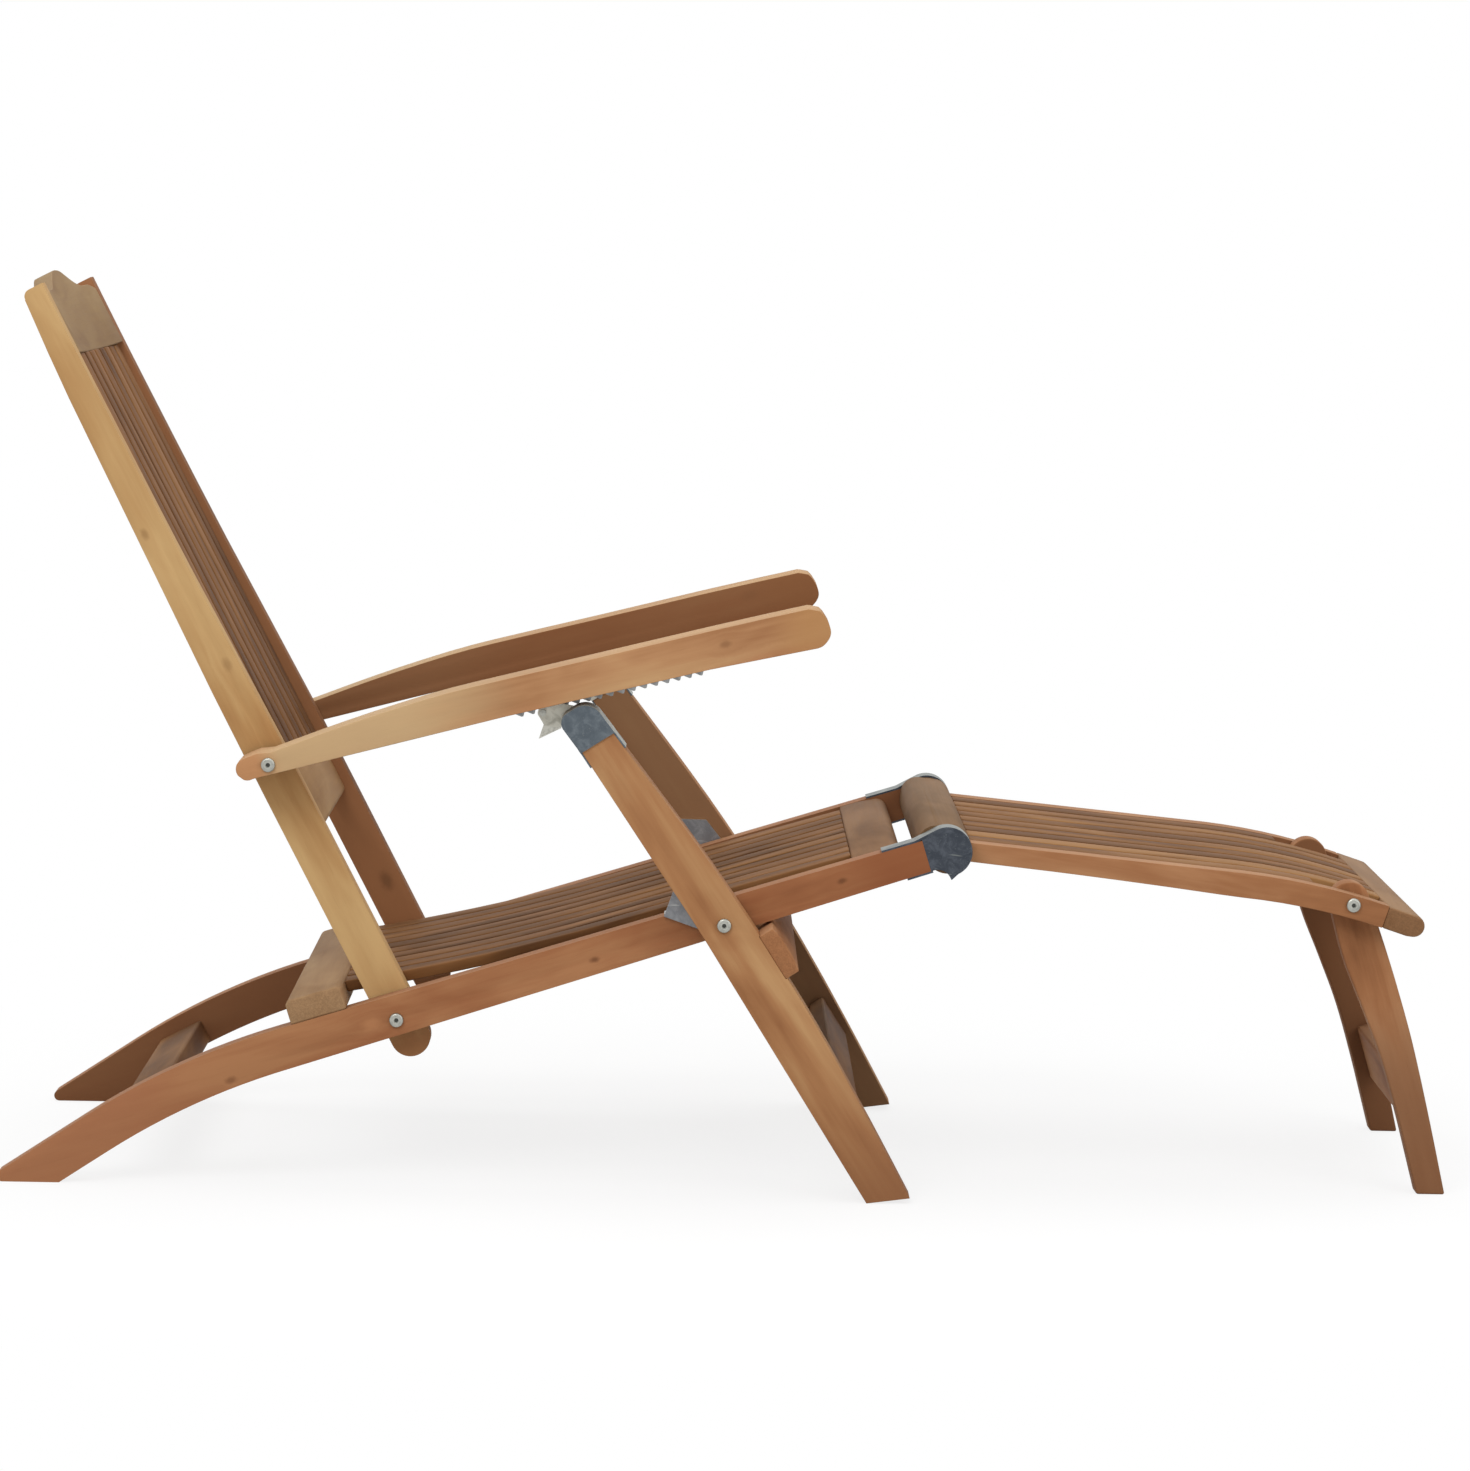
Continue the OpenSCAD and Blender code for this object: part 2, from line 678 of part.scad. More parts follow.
module arm_profile() {
    // The underside is hollow, with a flat seat for the rack
    under = concat(
        smooth([[arm_len - 17, -arm_under + 0.4], [arm_len * 0.87, arm_seat - arm_arch * 0.4],
            [rack_end + 6, arm_seat]]),
        smooth([[rack_at - 6, arm_seat], [arm_len * 0.21, arm_seat - arm_arch * 0.45],
            [0, -arm_under], [-arm_tail + 5, -arm_under]]));
    polygon([for (q = concat(arm_edge, under)) on_arm(q.x, q.y)]);
}
module arm() {
    difference() {
        slab(y_arm_in, y_arm)
            arm_profile();
        across(arm_pivot, bolt_d, y_arm_in - 1, y_arm + 1);
    }
}
module arm_left() {
    color(teak)
        arm();
}
module arm_right() {
    color(teak)
        other()
            arm();
}
module rack() {
    root = arm_seat - rack_strip;
    color(steel)
        slab(y_rack - rack_w, y_rack)
            polygon([for (q = concat(
                [[rack_at, arm_seat]],
                [for (i = [0 : rack_teeth - 1], t = [[0, 0], [0.62, 1], [0.78, 1]])
                    [rack_at + (i + t.x) * rack_pitch, root - t.y * rack_tooth]],
                [[rack_end, root], [rack_end, arm_seat]])) on_arm(q.x, q.y)]);
}
module rack_left() {
    rack();
}
module rack_right() {
    other()
        rack();
}
arm_bolt_end = y_up_in + 5;
module arm_bolt() {
    color(steel) {
        bolt(arm_pivot, arm_bolt_end, y_arm);
        washer(arm_pivot, y_up, y_arm_in);
    }
}
module arm_bolt_left() {
    arm_bolt();
}
module arm_bolt_right() {
    other()
        arm_bolt();
}

// Front legs with caps, catches and stop plates
leg_foot = leg_pivot.y / sin(leg_slope) - 7;
leg_rear_edge = smooth([
    [-leg_up, -leg_rear - leg_flare], [-leg_up * 0.4, -leg_rear - leg_flare * 0.4], [0, -leg_rear],
    [leg_foot * 0.46, -leg_rear - leg_flare * 0.4], [leg_foot, -leg_rear - leg_flare]
]);
leg_front_edge = smooth([
    [-leg_up, leg_front - leg_taper], [-leg_up * 0.39, leg_front - leg_taper * 0.27], [0, leg_front],
    [leg_foot * 0.34, leg_front + leg_taper * 0.08], [leg_foot * 0.7, leg_front - leg_taper * 0.25],
    [leg_foot + 20, leg_front - leg_taper * 0.77]
]);
// Head of the legs: a large round in front and a smaller one at the rear
leg_top_r = (leg_front - leg_taper + leg_rear + leg_flare) / 2;
leg_top_n = (leg_front - leg_taper - leg_rear - leg_flare) / 2;
leg_bulge = 1.6;
leg_corner = [-leg_up - leg_top_r + leg_head_r, -leg_rear - leg_flare - leg_bulge + leg_head_r];
// Outline of a leg, grown by g, from its head down to a distance along it
function leg_outline(g, low) = concat(
    arc(leg_corner, leg_head_r + g, 270, 180),
    arc([-leg_up, leg_top_n], leg_top_r + g, 180, 90, 14),
    [for (e = leg_front_edge) if (e.x > -leg_up && e.x <= low) e + [0, g]],
    flip([for (e = leg_rear_edge) if (e.x > -leg_up && e.x <= low) e - [0, g]]));
module leg_shape(g, low) {
    polygon([for (q = leg_outline(g, low)) on_leg(q.x, q.y)]);
}
// Heel of the front legs on the floor
heel_v = leg_pivot.y / sin(leg_slope) - (leg_rear + leg_flare) / tan(leg_slope);
heel_p = on_leg(heel_v, -leg_rear - leg_flare);
module leg_profile() {
    difference() {
        leg_shape(0, big);
        // Sole
        translate([heel_p.x, 0])
            rotate(leg_sole)
                translate([-big / 2, -big])
                    square(big);
        translate([-big / 2, -big])
            square(big);
    }
}
upper_n = leg_front - 0.2;
module upper_bar_profile() {
    face = smooth([
        [0, leg_bar_t - 2.5], [leg_bar_w * 0.3, leg_bar_t - 0.3], [leg_bar_w * 0.7, leg_bar_t - 0.3],
        [leg_bar_w, leg_bar_t - 2.5]
    ]);
    polygon([for (q = concat([[leg_bar_w, 0], [0, 0]], face)) on_leg(leg_bar_high + q.x, upper_n + q.y)]);
}
module front_leg() {
    difference() {
        slab(y_leg_in, y_leg)
            leg_profile();
        across(leg_pivot, bolt_d, y_leg_in - 1, y_leg + 1);
        // Flat seat of the upper stretcher
        slab(y_leg_in - 1, y_leg + 1)
            polygon([for (q = [[leg_bar_high, upper_n], [leg_bar_high + leg_bar_w, upper_n],
                [leg_bar_high + leg_bar_w, upper_n + 9], [leg_bar_high, upper_n + 9]])
                on_leg(q.x, q.y)]);
    }
}
module front_leg_left() {
    color(teak)
        front_leg();
}
module front_leg_right() {
    color(teak)
        other()
            front_leg();
}
module leg_upper_stretcher() {
    color(teak_dark)
        slab(-y_leg, y_leg)
            upper_bar_profile();
}
lower_n = -6;
module leg_lower_stretcher() {
    color(teak_dark)
        slab(-y_leg_in, y_leg_in)
            bar_profile(on_leg(leg_bar_low, lower_n), -leg_slope, leg_bar_w, leg_bar_t, 3);
}
// Sheet caps on the round tops of the legs
cap_low = leg_up - 23;
cap_strap = 44;
cap_side = fit + cap_t;
// Rivet that carries the catch, at the upper corner of the bracket on the cap
catch_pin = [-leg_up - 31, -leg_rear - 19.5];
module ear_profile() {
    difference() {
        union() {
            translate(on_leg(catch_pin.x, catch_pin.y))
                circle(r = 5.4);
            polygon([for (q = [
                catch_pin + [-5.3, 1], catch_pin + [-1, -5.3], catch_pin + [12.5, -5.6],
                catch_pin + [19.5, 3], [-leg_up - 6, -leg_rear - 6], [-cap_low - 16, -leg_rear - 2],
                [-leg_up - leg_top_r, leg_top_n], catch_pin + [-1.5, 18]])
                on_leg(q.x, q.y)]);
        }
        translate(on_leg(-leg_up, leg_top_n))
            circle(r = leg_top_r - 6);
    }
}
module leg_cap() {
    color(zinc)
        difference() {
            union() {
                slab(y_leg_in - cap_side, y_leg + cap_side)
                    intersection() {
                        leg_shape(cap_side, 0);
                        translate(on_leg(-cap_low, 0))
                            rotate(-leg_slope)
                                translate([-2 * leg_up, -leg_up])
                                    square(2 * leg_up);
                    }
                // Straps down the rear and the front edge of the leg
                slab(y_leg_in + 1, y_leg - 1)
                    leg_shape(cap_side, cap_strap - cap_low);
                slab(y_ear - ear_t, y_ear)
                    ear_profile();
            }
            slab(y_leg_in - fit, y_leg + fit)
                leg_shape(fit, big);
            across(on_leg(catch_pin.x, catch_pin.y), pin_d, y_leg_in - 10, y_leg + 10);
        }
}
module leg_cap_left() {
    leg_cap();
}
module leg_cap_right() {
    other()
        leg_cap();
}
// Catch: a plate on the inner side of the bracket with a bent lever below it, and a nose that
// stands under the teeth of the rack
lever_tip = [21, -18.3];
module catch_plate() {
    polygon([
        [-4.4, 0], [-3.4, -3.8], [1, -5], [11, -6], lever_tip, [24, 7.8], [17, 9], [2, 4.8], [-3, 3.4]
    ]);
    circle(r = 4.4);
}
module catch_piece() {
    p = on_leg(catch_pin.x, catch_pin.y);
    color(steel)
        difference() {
            union() {
                slab(y_catch - catch_t, y_catch)
                    translate(p)
                        rotate(-leg_slope)
                            catch_plate();
                slab(y_rack - rack_w, y_catch - catch_t / 2)
                    translate(p + 4.6 * dir(arm_tilt - 90))
                        circle(r = 2.2);
            }
            // Hollow face of the lever
            slab(y_catch - 1.2, y_catch + 1)
                translate(p)
                    rotate(-leg_slope)
                        polygon([[14, -5.4], [20.4, -13.5], [22, 4]]);
            across(p, pin_d + 2 * run, y_rack, y_catch + 1);
            // Room for the inner head of the pin
            across(p, pin_d * 1.7 + 2 * slack, y_rack, y_catch - catch_t);
        }
}
module catch_left() {
    catch_piece();
}
module catch_right() {
    other()
        catch_piece();
}
module catch_pins() {
    p = on_leg(catch_pin.x, catch_pin.y);
    end = y_catch - catch_t - 0.3;
    color(steel)
        both() {
            across(p, pin_d, end - 1.2, y_ear + 1.3);
            across(p, pin_d * 1.7, end - 1.2, end);
            across(p, pin_d * 1.7, y_ear, y_ear + 1.3);
        }
}
// Stop plates on the inner faces of the legs, with a tongue that rests on the seat rail
tongue_s = leg_at + 59;
tongue_l = 14;
tongue_w = 20;
tongue_t = 2.5;
tongue_up = 0.3;
module stop_profile() {
    difference() {
        polygon([
            on_seat(tongue_s, tongue_up), on_leg(-63, -17.5), on_leg(-46, 8), on_leg(14, 14),
            on_leg(12, -13)
        ]);
        translate(leg_pivot)
            circle(d = bolt_d);
    }
}
module stop_plate() {
    color(zinc) {
        slab(y_leg_in - stop_t, y_leg_in)
            stop_profile();
        slab(y_leg_in - stop_t - tongue_w, y_leg_in - 0.5)
            polygon([
                on_seat(tongue_s, tongue_up), on_seat(tongue_s - tongue_l, tongue_up),
                on_seat(tongue_s - tongue_l, tongue_up + tongue_t),
                on_seat(tongue_s - 1, tongue_up + tongue_t)
            ]);
    }
}
module stop_plate_left() {
    stop_plate();
}
module stop_plate_right() {
    other()
        stop_plate();
}
leg_bolt_end = y_rail_in + 5;
module leg_bolts() {
    color(steel)
        both()
            bolt(leg_pivot, leg_bolt_end, y_leg);
}
module leg_washers() {
    color(steel)
        both()
            washer(leg_pivot, y_rail, y_leg_in - stop_t);
}

// Foot rest
bar_w = 56;
bar_h = 46;
bar_back = 3;
bar_corner = 19;
bar_front = bar_w / 2 - bar_back;
rest_start = bar_front;
rest_end = rest_straight + rest_bend_len;
rest_hinge_d = 20;
bar_end = y_rail - cup_inset - cup_t - slack;
module hinge_bar() {
    color(teak_dark) {
        slab(-y_rail_in + slack, y_rail_in - slack)
            translate(hinge)
                rotate(-rest_tilt)
                    translate([-bar_w / 2 - bar_back, -bar_h / 2])
                        bar_profile([0, 0], 0, bar_w, bar_h, bar_corner);
        across(hinge, 2 * hinge_r, -bar_end, bar_end);
    }
}
function rest_line(s0, s1, w, n = 14) = [for (i = [0 : n]) on_rest(s0 + (s1 - s0) * i / n, w)];
function rest_under(s) = rest_top - (s < rest_straight
    ? rest_hinge_d + (rest_d - rest_hinge_d) * pow(s / rest_straight, 2)
    : rest_d - (rest_d - nose_t) * (s - rest_straight) / rest_bend_len);
module rest_rail() {
    difference() {
        slab(y_rest_in, y_rest)
            polygon(concat(
                rest_line(rest_start, rest_end, rest_top, 20),
                [for (i = [20 : -1 : 0])
                    let (s = rest_start + (rest_end - rest_start) * i / 20)
                    on_rest(s, rest_under(s))]));
        across(prop_pivot, bolt_d, y_rest_in - 1, y_rest + 1);
    }
}
module rest_rail_left() {
    color(teak)
        rest_rail();
}
module rest_rail_right() {
    color(teak)
        other()
            rest_rail();
}
nose_tilt = rest_tilt + deg(rest_bend_len, rest_bend_r);
module nose_rail() {
    p = on_rest(rest_end, rest_top);
    r = nose_t / 2;
    color(teak)
        slab(-y_rest, y_rest)
            translate(p)
                rotate(-nose_tilt)
                    polygon(concat(
                        [[0, -nose_t], [0, 0], [nose_len - r - 4, 0]],
                        arc([nose_len - r, -r + 0.5], r - 0.5, 80, -80, 12),
                        [[nose_len - r - 4, -nose_t]]));
}
rest_slat_w = (2 * (y_rest_in - slat_side) + slat_gap) / foot_slat_n - slat_gap;
prop_clear = 2 * prop_r;
module rest_slat(s1) {
    slab(-rest_slat_w / 2, rest_slat_w / 2)
        polygon(concat(
            rest_line(rest_start, s1, rest_top),
            flip(rest_line(rest_start, s1, rest_top - foot_slat_t))));
}
module rest_slats() {
    n = foot_slat_n;
    color(teak_dark)
        for (i = [0 : n - 1])
            translate([0, (i - (n - 1) / 2) * (rest_slat_w + slat_gap), 0])
                rest_slat(i == 0 || i == n - 1 ? prop_at - prop_clear : rest_end);
}
prop_foot = prop_pivot.y / sin(prop_slope) + prop_r;
prop_rear_edge = smooth([for (q = [[0, 0], [0.165, -0.1], [0.336, 0.5], [0.507, 1], [0.725, 1], [1, 0.7]])
    [prop_foot * q.x, -prop_r + prop_hollow * q.y]]);
prop_front_edge = smooth([for (q = [[0, 0], [0.1, -0.23], [0.175, -0.45], [0.29, -0.66], [0.47, -0.7],
    [0.71, -0.08], [1, 1]])
    [prop_foot * q.x, prop_r - prop_taper * q.y]]);
module prop() {
    difference() {
        slab(y_prop_in, y_prop)
            union() {
                polygon([for (q = concat(prop_rear_edge, flip(prop_front_edge)))
                    on_prop(q.x, q.y)]);
                translate(prop_pivot)
                    circle(r = prop_r);
            }
        floor_cut();
        across(prop_pivot, bolt_d, prop_bolt_end, y_prop + 1);
    }
}
module prop_left() {
    color(teak)
        prop();
}
module prop_right() {
    color(teak)
        other()
            prop();
}
module prop_stretcher() {
    color(teak_dark)
        slab(-y_prop_in, y_prop_in)
            bar_profile(on_prop(prop_bar_at, 3), -prop_slope, prop_bar_w, prop_bar_t, 3);
}
prop_bolt_end = y_prop_in + 5;
module prop_bolts() {
    color(steel)
        both()
            bolt(prop_pivot, prop_bolt_end, y_rest);
}
module prop_washers() {
    color(steel)
        both()
            washer(prop_pivot, y_prop, y_rest_in);
}

seat_rail_left();
seat_rail_right();
rear_foot_stretcher();
seat_rear_rail();
seat_front_rail();
seat_slats();
hinge_cup_left();
hinge_cup_right();
upright_left();
upright_right();
crest_rail();
back_lower_rail();
back_slats();
back_bolts();
back_washers();
arm_left();
arm_right();
rack_left();
rack_right();
arm_bolt_left();
arm_bolt_right();
front_leg_left();
front_leg_right();
leg_cap_left();
leg_cap_right();
catch_left();
catch_right();
catch_pins();
stop_plate_left();
stop_plate_right();
leg_upper_stretcher();
leg_lower_stretcher();
leg_bolts();
leg_washers();
hinge_bar();
rest_rail_left();
rest_rail_right();
nose_rail();
rest_slats();
prop_left();
prop_right();
prop_stretcher();
prop_bolts();
prop_washers();
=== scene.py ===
"""Dresses the folding steamer chair: eased timber edges, teak and zinc finishes, and a plain studio."""

import json
import logging
import math
from dataclasses import dataclass, field
from enum import Enum
from typing import Dict, List, Optional, Sequence, Tuple, Union

import bmesh
import bpy
from mathutils import Matrix, Vector

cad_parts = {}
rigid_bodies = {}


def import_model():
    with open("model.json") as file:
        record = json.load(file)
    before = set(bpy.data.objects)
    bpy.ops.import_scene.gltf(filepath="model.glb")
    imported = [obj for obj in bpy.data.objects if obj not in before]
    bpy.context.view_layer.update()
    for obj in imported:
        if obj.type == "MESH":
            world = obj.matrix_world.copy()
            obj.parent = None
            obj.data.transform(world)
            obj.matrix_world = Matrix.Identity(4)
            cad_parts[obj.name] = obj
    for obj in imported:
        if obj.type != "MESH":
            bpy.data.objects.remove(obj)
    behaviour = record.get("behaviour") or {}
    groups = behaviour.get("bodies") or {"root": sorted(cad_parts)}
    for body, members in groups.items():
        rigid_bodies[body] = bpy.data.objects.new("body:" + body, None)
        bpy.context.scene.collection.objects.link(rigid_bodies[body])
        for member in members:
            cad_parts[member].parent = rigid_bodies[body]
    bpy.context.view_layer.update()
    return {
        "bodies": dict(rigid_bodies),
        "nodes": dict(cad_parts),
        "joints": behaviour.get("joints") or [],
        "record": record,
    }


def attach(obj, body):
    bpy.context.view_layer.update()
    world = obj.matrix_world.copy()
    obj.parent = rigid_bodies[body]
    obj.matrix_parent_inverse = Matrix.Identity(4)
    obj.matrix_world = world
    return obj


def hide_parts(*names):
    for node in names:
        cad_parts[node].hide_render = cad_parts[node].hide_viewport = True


Colour = Tuple[float, float, float]
Number = Union[int, float]
Operand = Union["Link", Number]
Shades = Tuple[Colour, Colour, Colour]

log = logging.getLogger("chair")
MM = 1000.0
WELD_DISTANCE = 1e-5
FLAT_ANGLE = math.radians(0.6)
SHARP_ANGLE = math.radians(35)
SMOOTH_ANGLE = math.radians(38)
SLAT_EASE = 0.0018
TIMBER_EASE = 0.0025
FRAME_EASE = 0.003
ARM_EASE = 0.005
WHITE = (1.0, 1.0, 1.0)


def srgb(red: int, green: int, blue: int) -> Colour:
    """Turns a colour as seen on a screen into the light values that Blender uses.

    Args:
        red: 0 to 255.
        green: 0 to 255.
        blue: 0 to 255.

    Returns:
        The three linear values, 0 to 1.
    """
    def one(value: int) -> float:
        """Gives one channel."""
        v = value / 255
        return v / 12.92 if v <= 0.04045 else ((v + 0.055) / 1.055) ** 2.4
    return one(red), one(green), one(blue)


def scaled(colour: Colour, factor: float) -> Colour:
    """Makes a colour lighter or darker."""
    return tuple(factor * v for v in colour)


def mixed(first: Colour, second: Colour, share: float) -> Colour:
    """Mixes two colours, with a share of the second."""
    return tuple((1 - share) * a + share * b for a, b in zip(first, second))


class Link:
    """An output socket of a material that can be used in arithmetic."""

    def __init__(self, sheet: "Sheet", socket: bpy.types.NodeSocket) -> None:
        """Keeps the sheet and the socket."""
        self.sheet = sheet
        self.socket = socket

    def __add__(self, other: Operand) -> "Link":
        """Adds."""
        return self.sheet.maths("ADD", self, other)

    __radd__ = __add__

    def __sub__(self, other: Operand) -> "Link":
        """Subtracts."""
        return self.sheet.maths("SUBTRACT", self, other)

    def __rsub__(self, other: Operand) -> "Link":
        """Subtracts from a number."""
        return self.sheet.maths("SUBTRACT", other, self)

    def __mul__(self, other: Operand) -> "Link":
        """Multiplies."""
        return self.sheet.maths("MULTIPLY", self, other)

    __rmul__ = __mul__

    def __truediv__(self, other: Operand) -> "Link":
        """Divides."""
        return self.sheet.maths("DIVIDE", self, other)

    def __rtruediv__(self, other: Operand) -> "Link":
        """Divides a number."""
        return self.sheet.maths("DIVIDE", other, self)

    def __pow__(self, other: Operand) -> "Link":
        """Raises to a power."""
        return self.sheet.maths("POWER", self, other)

    def size(self) -> "Link":
        """Drops the sign."""
        return self.sheet.maths("ABSOLUTE", self, 0.0)

    def held(self) -> "Link":
        """Keeps the value between 0 and 1."""
        return self.sheet.use("ShaderNodeClamp", {}, {"Value": self})

    def step(self, low: float, high: float) -> "Link":
        """Goes smoothly from 0 at low to 1 at high.

        Args:
            low: value that gives 0.
            high: value that gives 1.

        Returns:
            The smooth step.
        """
        return self.sheet.use(
            "ShaderNodeMapRange", {"interpolation_type": "SMOOTHSTEP", "clamp": True},
            {"Value": self, "From Min": low, "From Max": high})


class Sheet:
    """A node tree that is being written."""

    def __init__(self, tree: bpy.types.NodeTree) -> None:
        """Takes over a tree and empties it."""
        self.tree = tree
        self.tree.nodes.clear()

    def use(self, kind: str, settings: Dict[str, object], values: Dict[Union[str, int], object],
            out: Union[str, int] = 0) -> Link:
        """Adds one node.

        Args:
            kind: the node's type.
            settings: properties that are set first; "stops" fills a colour ramp.
            values: values or links for the input sockets, by name or by place.
            out: the output that is wanted.

        Returns:
            That output.
        """
        node = self.tree.nodes.new(kind)
        for key, value in settings.items():
            if key == "stops":
                self._fill_ramp(node.color_ramp, value)
            else:
                setattr(node, key, value)
        for key, value in values.items():
            if isinstance(value, Link):
                self.tree.links.new(value.socket, node.inputs[key])
            else:
                node.inputs[key].default_value = value
        return Link(self, node.outputs[out])

    @staticmethod
    def _fill_ramp(ramp: bpy.types.ColorRamp, stops: Sequence[Tuple[float, Colour]]) -> None:
        """Fills a colour ramp.

        Args:
            ramp: the ramp.
            stops: place and colour of each stop.
        """
        while len(ramp.elements) < len(stops):
            ramp.elements.new(1.0)
        for element, (place, colour) in zip(ramp.elements, stops):
            element.position = place
            element.color = (*colour, 1.0)

    def maths(self, operation: str, a: Operand, b: Operand) -> Link:
        """Adds a Math node."""
        return self.use("ShaderNodeMath", {"operation": operation}, {0: a, 1: b})

    def blend(self, share: Operand, a: object, b: object, way: str = "MIX") -> Link:
        """Mixes two colours.

        Args:
            share: how much of the second colour shows.
            a: first colour.
            b: second colour.
            way: the way of mixing.

        Returns:
            The mixed colour.
        """
        def paint(value: object) -> object:
            """Adds the alpha that a colour socket wants."""
            return value if isinstance(value, Link) else (*value, 1.0)
        return self.use("ShaderNodeMix", {"data_type": "RGBA", "blend_type": way, "clamp_result": True},
                        {0: share, 6: paint(a), 7: paint(b)}, 2)

    def noise(self, place: Link, scale: float, detail: float = 2.0, rough: float = 0.5,
              twist: float = 0.0) -> Link:
        """Adds a Noise Texture.

        Args:
            place: where the noise is read.
            scale: how many cells lie in a metre.
            detail: how many finer layers are added.
            rough: how strong the finer layers are.
            twist: how much the cells are bent.

        Returns:
            The noise's value, about 0.5 on average.
        """
        return self.use("ShaderNodeTexNoise", {},
                        {"Vector": place, "Scale": scale, "Detail": detail, "Roughness": rough,
                         "Distortion": twist}, "Fac")

    def place(self) -> Link:
        """Gives the position on the piece, in metres, in the chair's own frame."""
        return self.use("ShaderNodeTexCoord", {}, {}, "Object")

    def facing(self) -> Tuple[Link, Link, Link]:
        """Gives the three parts of the direction that the surface faces, in the chair's own frame."""
        normal = self.use("ShaderNodeTexCoord", {}, {}, "Normal")
        return tuple(self.use("ShaderNodeSeparateXYZ", {}, {"Vector": normal}, axis) for axis in "XYZ")

    def end(self, kind: str, shader: Link) -> None:
        """Adds the output node and sends a shader to its surface."""
        node = self.tree.nodes.new(kind)
        self.tree.links.new(shader.socket, node.inputs["Surface"])


class Paint(Sheet):
    """A node material that is being written."""

    def __init__(self, name: str, solid: Colour) -> None:
        """Starts an empty material.

        Args:
            name: name of the material.
            solid: plain colour that the viewport shows.
        """
        self.material = bpy.data.materials.new(name)
        self.material.use_nodes = True
        self.material.diffuse_color = (*solid, 1.0)
        super().__init__(self.material.node_tree)

    def finish(self, shader: Link) -> bpy.types.Material:
        """Sends a shader to the material's output."""
        self.end("ShaderNodeOutputMaterial", shader)
        return self.material


class Lie(Enum):
    """Which way the grain of a timber runs."""

    ALONG = "along the side view"
    ACROSS = "across the chair"


class Way(Enum):
    """Which way a tint changes over a timber."""

    ALONG = "X"
    BESIDE = "Y"
    OVER = "Z"


@dataclass(frozen=True)
class Tint:
    """A colour that a timber takes on from one distance to another, measured with the grain."""

    way: Way
    start: float
    end: float
    colour: Colour
    share: float = 0.8


@dataclass(frozen=True)
class Knot:
    """A small knot, at a place of the side view; a pale one is a filled or sapwood spot."""

    x: float
    z: float
    radius: float = 0.006
    depth: float = 0.7
    pale: bool = False


@dataclass(frozen=True)
class Layer:
    """One layer of a timber's figure: how it is drawn out along the grain, its noise and its share."""

    draw: float
    scale: float
    detail: float
    rough: float = 0.5
    twist: float = 0.0
    share: float = 0.0


FIGURE = Layer(0.07, 34.0, 3.0, 0.55, 0.6, 0.95)
BANDS = Layer(0.07, 190.0, 3.0, 0.55, 0.4, 0.4)
PORES = Layer(0.03, 1100.0, 2.0, 0.6)
CLOUD = Layer(0.3, 17.0, 3.0, 0.5, 0.5, 2.1)
BOARD_SHIFT = (7.3, 3.1, 5.7)
ROWS_BEFORE = 20.0
# Pale grey tone for faces that look up: partly sun bleach, partly a painted highlight from the lamp above.
BLEACH_AND_TOP_LIGHT_TONE = srgb(196, 190, 168)


